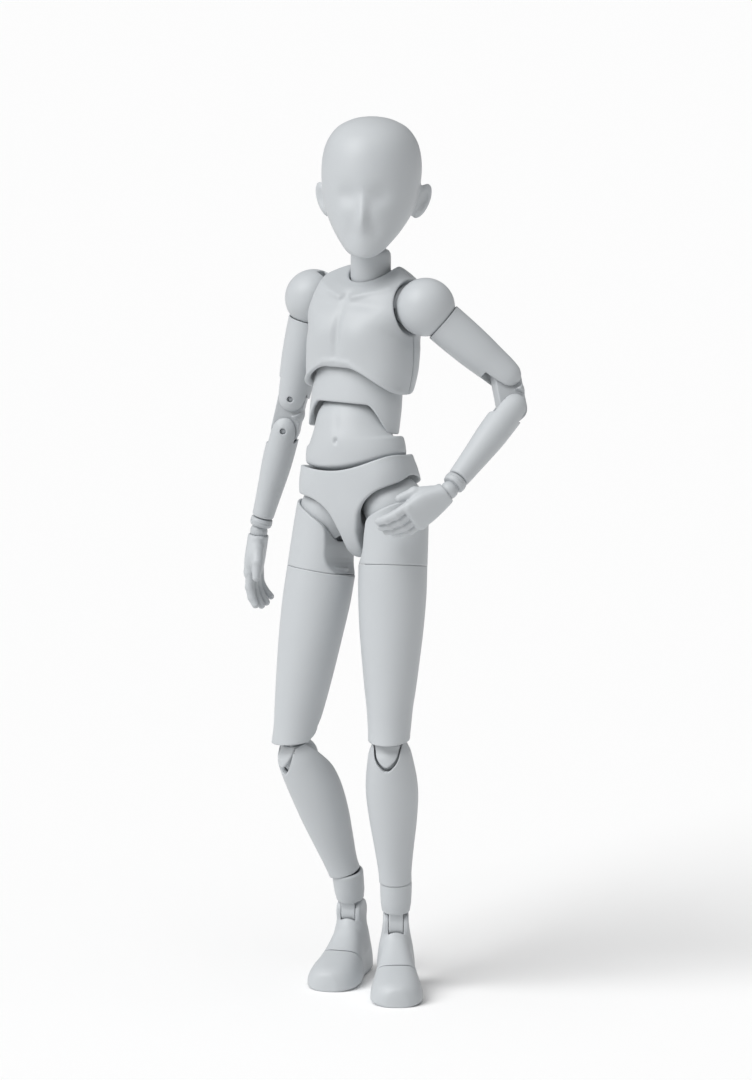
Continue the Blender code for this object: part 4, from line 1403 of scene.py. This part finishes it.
@dataclass
class Waist(Assembly):
    """The ribcage band and the belly below it."""

    band_end: float = 87.4

    def band(self) -> Form:
        """The ribcage band.

        Returns:
            The form.
        """
        stations = [
            (86.0, 7.3, -5.1, 4.9),
            (89.0, 7.4, -5.3, 5.0),
            (92.0, 7.4, -5.35, 5.0),
            (95.0, 7.1, -5.1, 4.85),
            (97.0, 6.7, -4.75, 4.5),
            (98.2, 5.9, -3.9, 3.9),
            (98.7, 4.6, -3.0, 3.3),
        ]
        hollow = [
            (80.0, 6.6, -4.85, 4.6),
            (88.0, 6.65, -4.9, 4.6),
            (91.5, 6.35, -4.7, 4.4),
            (93.5, 5.6, -3.9, 3.8),
            (94.6, 3.8, -2.6, 2.6),
        ]
        edge = arch(4.2, 7.6, 1.6, 91.3, -6.0) + [(7.6, 60), (-7.6, 60)]
        form = hull(stations).cut(hull(hollow), 0.2).join(rod(SPINE, "Z", 0.9, 7, 2.9), 0.3)
        form = form.sockets(SPINE, CHEST).cut(prism(edge, "Y", -FAR, FAR), 0.3)
        return form.cut(block((-FAR, -FAR, 70), (FAR, FAR, self.band_end), 0.01), 0.3)

    def navel(self, p: np.ndarray) -> np.ndarray:
        """The navel and the soft line above it.

        Args:
            p: Points.

        Returns:
            The heights.
        """
        navel = [(0.12, 0, 85.9, 1.0, 1.0), (-0.5, 0, 85.85, 0.36, 0.46)]
        line = [(-0.14, 0, 88.6, 0.6, 1.6)]
        return relief(p, navel + line) * ahead(p, -2.0, 2.0)

    def belly(self) -> Form:
        """The belly: a dome on a wider ring.

        Returns:
            The form.
        """
        ring = [
            (79.5, 7.2, -5.35, 4.95),
            (82.5, 8.0, -5.8, 5.4),
            (84.2, 8.1, -5.85, 5.45),
            (85.8, 7.9, -5.7, 5.25),
        ]
        dome = [
            (80.5, 5.9, -5.6, 5.2),
            (84.0, 6.0, -6.0, 5.3),
            (86.0, 6.0, -5.9, 5.1),
            (88.0, 5.95, -5.4, 4.75),
            (90.0, 5.5, -4.85, 4.4),
            (91.2, 4.9, -4.3, 3.9),
            (92.4, 3.9, -3.3, 3.1),
        ]
        apron = [
            (79.5, 7.2, -5.5, 4.95),
            (82.5, 7.95, -5.9, 5.4),
            (84.2, 7.95, -6.05, 5.4),
            (86.0, 7.2, -5.95, 5.2),
            (88.0, 6.25, -5.5, 4.75),
            (89.6, 5.65, -5.05, 4.4),
            (91.2, 4.95, -4.35, 3.9),
            (92.4, 3.95, -3.35, 3.1),
        ]
        bowl = [(-0.5, 0), (-0.5, 3.3), (0.3, 3.5), (5.5, 4.1), (5.5, 0)]
        smooth = hull(apron).keep(block((-FAR, -FAR, 70), (FAR, -1.0, 100), 0.01), 0.5)
        form = hull(ring, edge=0.5).join(hull(dome), 0.35).join(smooth, 0.4).swell(self.navel)
        return form.cut(lathe(bowl, SPINE), 0.3).sockets(SPINE, WAIST).cut(dish(0), 0.3)

    def build(self) -> None:
        """Makes the band and the belly."""
        self.bench.moulded("mid_torso", self.band())
        self.bench.moulded("belly", self.belly())


@dataclass
class Pelvis(Assembly):
    """The pelvis with its two leg openings."""

    cavity: float = 5.53

    def relief(self, p: np.ndarray) -> np.ndarray:
        """Hip bones, groin and buttocks.

        Args:
            p: Points.

        Returns:
            The heights.
        """
        front = [(0.18, 0, 72.0, 2.0, 2.6), (0.12, 6.8, 80.0, 1.6, 1.4)]
        back = [(0.3, 4.0, 75.5, 3.0, 3.0), (-0.35, 0, 74, 0.7, 4.5)]
        behind = np.clip((p[:, 1] - 1) / 2, 0, 1)
        return relief(p, front) * ahead(p, -1.0, 2.0) + relief(p, back) * behind

    def build(self) -> None:
        """Makes the pelvis."""
        stations = [
            (68.2, 0.8, -2.4, 2.4),
            (69.6, 2.6, -3.9, 3.7),
            (72.0, 6.0, -5.1, 5.2),
            (75.0, 8.7, -5.9, 6.1),
            (78.0, 9.4, -6.1, 6.2),
            (80.5, 9.2, -6.1, 5.9),
            (82.5, 8.7, -6.0, 5.6),
            (84.5, 8.3, -5.9, 5.4),
        ]
        curve = [(1.3, 62), (1.3, 70.5), (1.8, 73.2), (2.7, 75.4), (4.4, 77.1), (7.2, 78.3), (14, 79.5)]
        opening = [(14, 55), (1.3, 55), *smooth_rows(curve, 8).tolist()]
        flat = -self.cavity * math.cos(math.radians(22))
        socket = lathe(arc(self.cavity, 158, 0, 26) + [(flat, 0)], HIP, "X")
        form = hull(stations, power=2.8, edge=0.5).swell(self.relief)
        form = form.keep(dish(-0.44, 0.014), 0.35).sockets(WAIST)
        form = form.cut(socket.both_sides(), 0.35)
        form = form.cut(prism(opening, "Y", -FAR, FAR).both_sides(), 0.45)
        self.bench.moulded("pelvis", form.cut(rod((0, 0, HIP[2]), "X", -3, 3, 1.15)))


@dataclass
class Arm(Assembly):
    """Shoulder ball, upper arm, elbow link and forearm."""

    deltoid: float = 4.4
    gap: float = 0.15
    slot_half: float = 1.25
    slot_end: float = 2.4
    slot_depth: float = 2.7
    link_half: float = 1.05
    link_end: float = 2.16

    def slot(self, form: Form, centre: Point, end: int) -> Form:
        """Cuts the slot for the elbow link, deeper in front, and the pin's bore.

        Args:
            form: The form to cut.
            centre: The pin's place.
            end: 1 if the slot opens upwards and -1 if downwards.

        Returns:
            The cut form.
        """
        x, y, z = centre
        tall = sorted((z, z + 6 * end))
        deep = sorted((z - self.slot_depth * end, z + 6 * end))
        half = self.slot_half
        form = form.cut(rod(centre, "X", -half, half, self.slot_end, 0.05), 0.2)
        for back, (low, high) in ((y + 5, tall), (y - 0.4, deep)):
            form = form.cut(block((x - half, y - 5, low), (x + half, back, high), 0.05), 0.25)
        return form.cut(rod(centre, "X", -4, 1.9, ELBOW_PIN_BORE, 0.02), 0.06)

    def upper(self) -> Form:
        """The upper arm.

        Returns:
            The form.
        """
        stations = [
            (88.6, 0.7, 0.1, 1.5),
            (89.0, 1.5, -0.7, 2.3),
            (89.8, 2.15, -1.35, 2.95),
            (91.0, 2.5, -1.7, 3.3),
            (94.0, 2.7, -1.95, 3.55),
            (97.0, 2.95, -2.2, 3.8),
            (100.5, 3.08, -2.35, 3.94),
            (103.9, 3.11, -2.38, 3.97),
        ]
        form = hull(stations, SHOULDER[0]).cut(ball(SHOULDER, self.deltoid + self.gap), 0.25)
        form = form.cut(rod(SHOULDER, "Z", -8, -3, 1.15))
        return self.slot(form, ELBOW_UPPER, -1)

    def lower(self) -> Form:
        """The forearm.

        Returns:
            The form.
        """
        stations = [
            (71.4, 1.66, -0.86, 2.46),
            (74.0, 1.82, -1.02, 2.66),
            (77.0, 2.05, -1.25, 2.9),
            (80.0, 2.3, -1.5, 3.1),
            (83.0, 2.4, -1.6, 3.14),
            (85.8, 2.36, -1.58, 3.08),
            (87.0, 2.05, -1.28, 2.78),
            (87.8, 1.5, -0.7, 2.3),
            (88.2, 0.7, 0.1, 1.5),
        ]
        form = hull(stations, SHOULDER[0]).cut(rod(WRIST, "Z", 2, 5.6, 0.9))
        return self.slot(form, ELBOW_LOWER, 1)

    def build(self) -> None:
        """Makes both arms."""
        self.bench.pair("deltoid", self.shoulder())
        self.bench.pair("upper_arm", self.upper())
        self.bench.pair("forearm", self.lower())
        self.bench.pair("elbow_block", self.link(), Slot.INNER)

    def shoulder(self) -> Form:
        """The shoulder ball with its peg, hollow, and slotted for the stem of the hub.

        Returns:
            The form.
        """
        x, y, z = SHOULDER
        fan = [(x, z)]
        for turn in np.radians(np.linspace(-16, 86, 18)):
            fan.append((x - 6 * math.cos(turn), z + 6 * math.sin(turn)))
        form = ball(SHOULDER, self.deltoid).join(rod(SHOULDER, "Z", -7.6, -3, 0.95))
        return form.cut(ball(SHOULDER, 1.55)).cut(prism(fan, "Y", y - 0.9, y + 0.9), 0.2)

    def link(self) -> Form:
        """The elbow link: a rounded cap behind, and a round end on each pin.

        Returns:
            The form.
        """
        x, y, _ = SHOULDER
        low, high, half = ELBOW_LOWER[2], ELBOW_UPPER[2], self.link_half
        pins = (ELBOW_UPPER, ELBOW_LOWER)
        form = egg((x, y + 0.85, (low + high) / 2), (2.15, 1.55, 1.9))
        for centre in pins:
            form = form.cut(rod(centre, "X", -3, 3, 2.62), 0.25)
        form = form.join(block((x - half, y - 2.15, low), (x + half, y + 2.13, high)))
        for centre in pins:
            form = form.join(rod(centre, "X", -half, half, self.link_end, 0.25))
        for centre in pins:
            form = form.cut(rod(centre, "X", -3, 3, 0.5))
        return form


@dataclass
class Hand(Assembly):
    """A relaxed hand with four fingers and a thumb."""

    wrist: float = 1.44

    def form(self) -> Form:
        """The left hand.

        A finger has its y, its curl, its length and its radius. A bend has its share of that length,
        how far in it lies on a straight finger, and how much further in with the curl.

        Returns:
            The form.
        """
        x = WRIST[0]
        palm = [
            (61.7, 0.85, -1.8, 3.1),
            (62.8, 1.09, -2.0, 3.3),
            (65.0, 1.31, -2.0, 3.2),
            (67.2, 1.45, -1.3, 2.8),
            (68.6, 1.55, -0.8, 2.4),
        ]
        fingers = [
            (-1.3, 0.6, 4.6, 0.76),
            (0.05, 1.0, 4.8, 0.78),
            (1.4, 1.2, 4.5, 0.76),
            (2.65, 1.35, 3.7, 0.68),
        ]
        bends = [(0.4, 0.35, 0.15), (0.73, 0.65, 0.6), (0.95, 1.05, 1.15)]
        root = 62.3
        form = hull(palm, x, 2.4, 0.5)
        for y, curl, length, radius in fingers:
            path = [(x - 0.2, y, root + 0.7)]
            path += [(x - out - more * curl, y, root - share * length) for share, out, more in bends]
            slim = 0.93 * radius
            form = form.join(limb(path, [slim, slim, 0.95 * slim, 0.82 * slim], 0.2), 0.12)
            form = form.join(ball((x + 0.03, y, root + 0.4), 0.72), 0.3)
        thumb = [(x - 0.7, -0.6, 66.5), (x - 1.35, -1.8, 64.7), (x - 1.7, -2.3, 62.4)]
        form = form.join(limb(thumb, [0.95, 0.82, 0.62]), 0.5)
        cup = arc(self.wrist, 180, 70, 12) + [(2.5, 3.2), (2.5, 0)]
        return form.cut(lathe(cup, WRIST), 0.2)

    def build(self) -> None:
        """Makes both hands."""
        self.bench.pair("hand", self.form())


@dataclass
class Hip(Assembly):
    """The hip ball and the top of the thigh that turns on it."""

    ball: float = 4.7
    cup: float = 5.25
    seam: float = 66.5

    def inner(self) -> Form:
        """The hip ball, slotted for the tongue of the thigh.

        Returns:
            The form.
        """
        x, _, z = HIP
        form = ball(HIP, self.ball).cut(rod(HIP, "X", -6, -2.1, 1.15))
        form = form.cut(block((x - 1.95, -1.2, z - 6), (x + 6, 1.2, z + 1.9)), 0.2)
        form = form.cut(block((x - 3.4, -1.2, z - 6), (x, 1.2, z - 2.1)), 0.2)
        return form.cut(rod(HIP, "Y", -4, 4, PIN_BORE))

    def outer(self) -> Form:
        """The top of the thigh: a cup round the ball, its tongue, and the peg that the thigh turns on.

        Returns:
            The form.
        """
        x, _, z = HIP
        wall = self.cup
        stations = [(self.seam, wall - 0.05, 0.05 - wall, wall)]
        stations += [(height, wall, -wall, wall) for height in (70.0, z)]
        for turn in np.radians((78, 68, 58, 48, 38, 28)):
            radius = wall * math.sin(turn)
            stations.append((z + wall * math.cos(turn), radius, -radius, radius))
        rim = [(-2, 63.8), (2.2, 67.6), (3.0, 71.2), (3.6, 73.3), (6.2, 74.8), (9.2, 76.1), (14, 78.3)]
        rim = smooth_rows(rim, 6).tolist() + [(14, 95), (-2, 95)]
        form = hull(stations, x, edge=0.03).cut(ball(HIP, self.ball + 0.08), 0.15)
        form = form.cut(prism(rim, "Y", -FAR, FAR), 0.3)
        form = form.join(block((x - 1.5, -1, 68.5), (x + 1.5, 1, z)))
        form = form.join(rod(HIP, "Y", -1, 1, 1.7)).join(rod(HIP, "Z", -10.2, -8, 4.1))
        form = form.join(rod(HIP, "Z", -13, -9.5, 1.5))
        return form.cut(rod(HIP, "Y", -3, 3, PIN_BORE))

    def build(self) -> None:
        """Makes both hips."""
        self.bench.pair("hip_ball", self.inner())
        self.bench.pair("thigh_top", self.outer())


@dataclass
class Leg(Assembly):
    """Thigh, double knee and shin."""

    slot: float = 2.08
    tongue: float = 1.72
    slot_half: float = 2.15
    link_half: float = 1.9

    def spindle(self, centre: Point, middle: float, edge: float, half_width: float) -> Form:
        """A link end that is thickest in the middle.

        Args:
            centre: The pin's place.
            middle: Radius in the middle.
            edge: Radius at the sides.
            half_width: Half its width.

        Returns:
            The form.
        """
        steps = np.linspace(-1, 1, 17)
        profile = [(t * half_width, edge + (middle - edge) * (1 - abs(t) ** 2.2)) for t in steps]
        return lathe([(-half_width, 0), *profile, (half_width, 0)], centre, "X")

    def thigh(self) -> Form:
        """The thigh below its seam.

        Returns:
            The form.
        """
        x = HIP[0]
        stations = [
            (38.4, 3.14, -3.32, 3.3),
            (40.33, 3.16, -3.34, 3.4),
            (41.4, 3.2, -3.38, 3.5),
            (42.7, 3.3, -3.5, 3.7),
            (45.0, 3.5, -3.8, 3.85),
            (48.0, 3.9, -4.1, 4.15),
            (52.0, 4.35, -4.5, 4.5),
            (57.0, 4.85, -4.9, 4.85),
            (62.0, 5.15, -5.15, 5.2),
            (66.46, 5.2, -5.2, 5.25),
        ]
        wedge = [(-0.4, 38), (4.6, 47), (8, 47), (8, 38)]
        below = [(-6, 38.35), (0.4, 40.33), (8, 40.33), (8, 30), (-6, 30)]
        inside = hull([(30, 2.95, -3.05, 3.0), (40.45, 2.95, -3.05, 3.0)], x, edge=0.15)
        form = hull(stations, x, edge=0.03).cut(prism(wedge, "X", -FAR, FAR), 0.4)
        form = form.cut(inside).cut(prism(below, "X", -FAR, FAR))
        form = form.cut(rod(HIP, "Z", -10.5, -8, 4.4)).cut(rod(HIP, "Z", -13.4, -10, 1.7))
        form = form.cut(self.spindle(KNEE_UPPER, 3.3, 2.45, self.slot_half), 0.2)
        form = form.cut(block((x - self.slot, -1.5, 36), (x + self.slot, 6, KNEE_UPPER[2] - 0.1)), 0.15)
        tongue = block((x - self.tongue, -2.25, 36.2), (x + self.tongue, 0, KNEE_UPPER[2] - 0.5))
        form = form.cut(tongue, 0.15)
        return form.cut(rod(KNEE_UPPER, "X", -2.8, 2.8, PIN_BORE, 0.05))

    def shin(self) -> Form:
        """The shin with its calf.

        Returns:
            The form.
        """
        x = HIP[0]
        stations = [
            (16.9, 2.47, -1.57, 3.37),
            (19.0, 2.55, -1.72, 3.5),
            (23.0, 3.05, -2.2, 4.2),
            (27.0, 3.6, -2.65, 4.8),
            (31.0, 3.95, -2.95, 5.0),
            (34.0, 3.85, -3.15, 4.7),
            (37.2, 3.4, -3.25, 4.1),
            (38.4, 3.15, -3.1, 3.8),
            (39.2, 2.85, -2.85, 3.5),
            (40.17, 2.5, -2.4, 3.0),
        ]
        wedge = [(-0.2, 42), (5, 33.5), (8, 33.5), (8, 42)]
        notch = mirrored([(2.05, 43), (2.0, 39.3), (1.55, 37.6), (0.5, 36.45), (0, 36.35)], x)
        form = hull(stations, x, edge=0.12).cut(prism(wedge, "X", -FAR, FAR), 0.4)
        form = form.cut(prism(notch, "Y", -6, -0.3), 0.15)
        form = form.cut(self.spindle(KNEE_LOWER, 3.12, 2.0, self.slot_half), 0.2)
        form = form.cut(block((x - self.slot, -1.45, KNEE_LOWER[2] + 0.13), (x + self.slot, 6, 43.6)), 0.15)
        tongue = block((x - self.tongue, -2.3, KNEE_LOWER[2] + 0.5), (x + self.tongue, 0, 43.7))
        form = form.cut(tongue, 0.15)
        form = form.cut(rod(KNEE_LOWER, "X", -2.8, 2.8, PIN_BORE, 0.05))
        return form.cut(ball(ANKLE, 3.27), 0.12).cut(rod(ANKLE, "Z", 1, 6.6, 1))

    def link(self) -> Form:
        """The knee link with the kneecap in front of it.

        Returns:
            The form.
        """
        x = HIP[0]
        cap = mirrored([(1.95, 39.8), (1.91, 39.3), (1.46, 37.65), (0.45, 36.54), (0, 36.44)], x)
        lean = [(36, 3.2, -3.12, 3.6), (37.5, 3.2, -3.1, 3.6), (38.2, 3.1, -2.9, 3.6)]
        front = hull([*lean, (38.9, 3.0, -2.55, 3.5), (39.9, 3.0, -2.5, 3.5)], x)
        form = prism(cap, "Y", -5, -0.9).keep(front, 0.2)
        form = form.join(block((x - 1.5, -2.0, KNEE_LOWER[2]), (x + 1.5, 1.6, KNEE_UPPER[2])))
        form = form.join(self.spindle(KNEE_UPPER, 3.05, 2.2, self.link_half))
        form = form.join(self.spindle(KNEE_LOWER, 2.9, 1.75, self.link_half))
        for centre in (KNEE_UPPER, KNEE_LOWER):
            form = form.cut(rod(centre, "X", -3, 3, PIN_BORE), 0.15)
        return form

    def build(self) -> None:
        """Makes both legs down to the ankle."""
        self.bench.pair("thigh", self.thigh())
        self.bench.pair("shin", self.shin())
        self.bench.pair("knee_block", self.link())


@dataclass
class Foot(Assembly):
    """Ankle cuff, foot and toe cap."""

    roundness: float = 2.3
    tongue: float = 1.1
    tongue_end: float = 2.0
    slot: float = 1.16
    slot_end: float = 2.3
    toe_end: float = 2.6
    toe_gap: float = 0.06

    def shoe(self) -> Form:
        """The foot and toe cap together, with a flat sole.

        Returns:
            The form.
        """
        sections = [
            (-12.1, 0.9, 2.0),
            (-11.8, 1.9, 2.7),
            (-10.9, 3.1, 3.4),
            (-9.4, 3.85, 4.0),
            (-7.6, 4.0, 4.6),
            (-5.6, 3.8, 5.3),
            (-3.6, 3.4, 6.6),
            (-1.6, 3.0, 8.4),
            (0.2, 2.9, 9.4),
            (2.0, 2.8, 9.0),
            (3.6, 2.6, 7.0),
            (4.6, 2.1, 5.0),
            (5.1, 1.2, 3.2),
        ]
        rows = smooth_rows(sections)
        power = self.roundness

        def distance(p: np.ndarray) -> np.ndarray:
            half = np.interp(p[:, 1], rows[:, 0], rows[:, 1])
            tall = np.interp(p[:, 1], rows[:, 0], rows[:, 2])
            base = 0.12 * tall
            u = np.abs(p[:, 0] - FOOT[0]) / half
            v = np.maximum(p[:, 2] - base, 0) / (tall - base)
            tuck = 1 - 0.15 * np.clip((base - p[:, 2]) / np.maximum(base, 0.1), 0, 1)
            rho = np.maximum((u / tuck) ** power + v**power, 1e-6) ** (1 / power)
            side = (rho - 1) * np.minimum(half, tall - base)
            ends = np.maximum(rows[0, 0] - p[:, 1], p[:, 1] - rows[-1, 0])
            return soft_max(soft_max(side, ends, 0.5), -p[:, 2], 0.25)

        wide = rows[:, 1].max()
        low = (FOOT[0] - wide, rows[0, 0], 0)
        return Form(distance, low, (FOOT[0] + wide, rows[-1, 0], rows[:, 2].max()))

    def toe_side(self, radius: float) -> Form:
        """All in front of the toe joint, with a round back about its pin.

        Args:
            radius: Radius of that back.

        Returns:
            The form.
        """
        _, y, z = TOE
        outline = [(y - 14, -3), (y, -3)]
        for turn in np.radians(np.linspace(-90, 90, 25)):
            outline.append((y + radius * math.cos(turn), z + radius * math.sin(turn)))
        outline += [(y, 11), (y - 14, 11)]
        return prism(outline, "X", -FAR, FAR)

    def cuff(self) -> Form:
        """The ankle cuff: a cup for the post's ball, and a tongue down to the foot's pin.

        Returns:
            The form.
        """
        x, y, z = FOOT
        half = self.tongue
        wall = [(-2.6, 0), (-2.6, 1.95), (-2.48, 2.12), (-1.2, 2.32), (0.5, 2.4), (2.0, 2.42)]
        cup = [(-1.45, 0)] + arc(1.45, 176, 55, 12) + [(3.5, 2.6), (3.5, 0)]
        form = lathe(wall + arc(3.2, 48, 20, 12) + [(3.0, 0)], ANKLE).cut(lathe(cup, ANKLE), 0.2)
        form = form.join(block((x - half, y - 1.65, z), (x + half, y + 1.65, 12.9)))
        form = form.join(rod(FOOT, "X", -half, half, self.tongue_end, 0.15))
        return form.cut(rod(FOOT, "X", -3, 3, PIN_BORE), 0.12)

    def foot(self) -> Form:
        """The foot without its toe cap.

        Returns:
            The form.
        """
        x = FOOT[0]
        column = hull([(4, 2.75, -2.6, 4.1), (7, 2.45, -1.9, 3.7), (9.9, 1.85, -0.9, 2.7)], x)
        form = self.shoe().join(column, 0.6).join(rod(FOOT, "X", -1.95, 1.95, 1.95, 0.35), 0.5)
        form = form.cut(rod(FOOT, "X", -self.slot, self.slot, self.slot_end, 0.05))
        form = form.cut(self.toe_side(self.toe_end + self.toe_gap), 0.12)
        form = form.join(block((x - 0.9, TOE[1], 1.0), (x + 0.9, -2, 3.2)))
        form = form.join(rod(TOE, "X", -1.0, 1.0, 1.2))
        form = form.cut(rod(TOE, "X", -3, 3, PIN_BORE))
        return form.cut(rod(FOOT, "X", -1.75, 1.75, PIN_BORE, 0.05))

    def toe(self) -> Form:
        """The toe cap, slotted for the tongue of the foot.

        Returns:
            The form.
        """
        x, y, z = TOE
        slot = [(y, -1), (y + 6, -1), (y + 6, z + 4.8), (y, z + 1.3)]
        form = self.shoe().keep(self.toe_side(self.toe_end), 0.12)
        form = form.cut(rod(TOE, "X", -1.3, 1.3, 1.5, 0.05))
        form = form.cut(prism(slot, "X", x - 1.25, x + 1.25, 0.05))
        return form.cut(rod(TOE, "X", -2.7, 2.7, PIN_BORE, 0.05))

    def build(self) -> None:
        """Makes both feet."""
        self.bench.pair("ankle_cuff", self.cuff())
        self.bench.pair("foot", self.foot())
        self.bench.pair("toe", self.toe())


@dataclass
class Studio:
    """Floor, lights and camera."""

    azimuth: float = 29.4
    elevation: float = 8.3
    distance: float = 0.7
    lens: float = 153.8
    sensor: float = 36
    pelvis: float = 77.0
    aim: tuple[float, float, float] = (0.0002, 0.0007, -0.008)
    shift: tuple[float, float] = (0.00170, 0.00156)
    floor: float = 9

    def sun(self, name: str, strength: float, angle: float, azimuth: float, elevation: float) -> None:
        """Adds a soft light that falls evenly from one side.

        Args:
            name: Its name.
            strength: Its strength.
            angle: How soft its shadows are, in degrees.
            azimuth: Where it comes from, counted as for the camera.
            elevation: How high it stands, in degrees.
        """
        light = bpy.data.lights.new(name, "SUN")
        light.energy = strength
        light.angle = math.radians(angle)
        lamp = bpy.data.objects.new(name, light)
        bpy.context.scene.collection.objects.link(lamp)
        lamp.rotation_euler = self.back(azimuth, elevation).to_track_quat("Z", "Y").to_euler()

    def back(self, azimuth: float, elevation: float) -> Vector:
        """The direction from the figure to a place round it; azimuth 0 is in front of it."""
        a, e = math.radians(azimuth), math.radians(elevation)
        return Vector((math.sin(a) * math.cos(e), -math.cos(a) * math.cos(e), math.sin(e)))

    def build(self, skeleton: Skeleton) -> None:
        """Sets up all of it.

        Args:
            skeleton: Gives the place that the camera looks at.
        """
        far = self.floor
        floor = bpy.data.meshes.new("studio_floor")
        corners = [(-far, -far, 0), (far, -far, 0), (far, far, 0), (-far, far, 0)]
        floor.from_pydata(corners, [], [(0, 1, 2, 3)])
        shader = Shader("studio_white")
        shader.paint({"Base Color": (0.95, 0.95, 0.95, 1), "Roughness": 0.9, "Specular IOR Level": 0.0})
        floor.materials.append(shader.material)
        ground = bpy.data.objects.new("studio_floor", floor)
        bpy.context.scene.collection.objects.link(ground)
        self.sun("key_light", 2.4, 42, self.azimuth - 56, 45)
        self.sun("top_light", 0.7, 60, self.azimuth + 20, 80)
        air = Shader("studio_air", world=True)
        seen = air.node("ShaderNodeLightPath", {}, {}, "Is Camera Ray")
        air.paint({"Color": (1, 1, 1, 1), "Strength": 0.27 + seen * 0.7})
        bpy.context.scene.world = air.material
        bpy.context.scene.view_settings.view_transform = "Standard"
        self.camera(skeleton)

    def camera(self, skeleton: Skeleton) -> None:
        """Sets the camera where the photo was taken from.

        Args:
            skeleton: Gives the place that the camera looks at.
        """
        data = bpy.data.cameras.new("photo_camera")
        data.lens = self.lens
        data.sensor_width = self.sensor
        data.clip_end = 50
        camera = bpy.data.objects.new("photo_camera", data)
        bpy.context.scene.collection.objects.link(camera)
        back = self.back(self.azimuth, self.elevation)
        turn = back.to_track_quat("Z", "Y")
        right, up = turn @ Vector((1, 0, 0)), turn @ Vector((0, 1, 0))
        centre = skeleton.placings["pelvis"].carry(np.array([[0, 0, self.pelvis]]))[0]
        target = Vector(centre) + Vector(self.aim) + right * self.shift[0] + up * self.shift[1]
        camera.location = target + back * self.distance
        camera.rotation_euler = turn.to_euler()
        bpy.context.scene.camera = camera


def build_figure() -> None:
    """Builds every piece in order, then the studio."""
    logging.basicConfig(level=logging.INFO, format="%(name)s %(message)s")
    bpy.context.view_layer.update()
    skeleton = Skeleton(frame["joints"])
    bench = Bench(skeleton)
    turned = TurnedPieces(bench)
    Head(bench).build(turned)
    for assembly in (Chest, Waist, Pelvis, Arm, Hand, Hip, Leg, Foot):
        assembly(bench).build()
        LOG.info("%s done", assembly.__name__)
    turned.build()
    Pins(bench).build()
    Studio().build(skeleton)
    LOG.info("%d faces in all", bench.faces)


if __name__ == "__main__":
    build_figure()
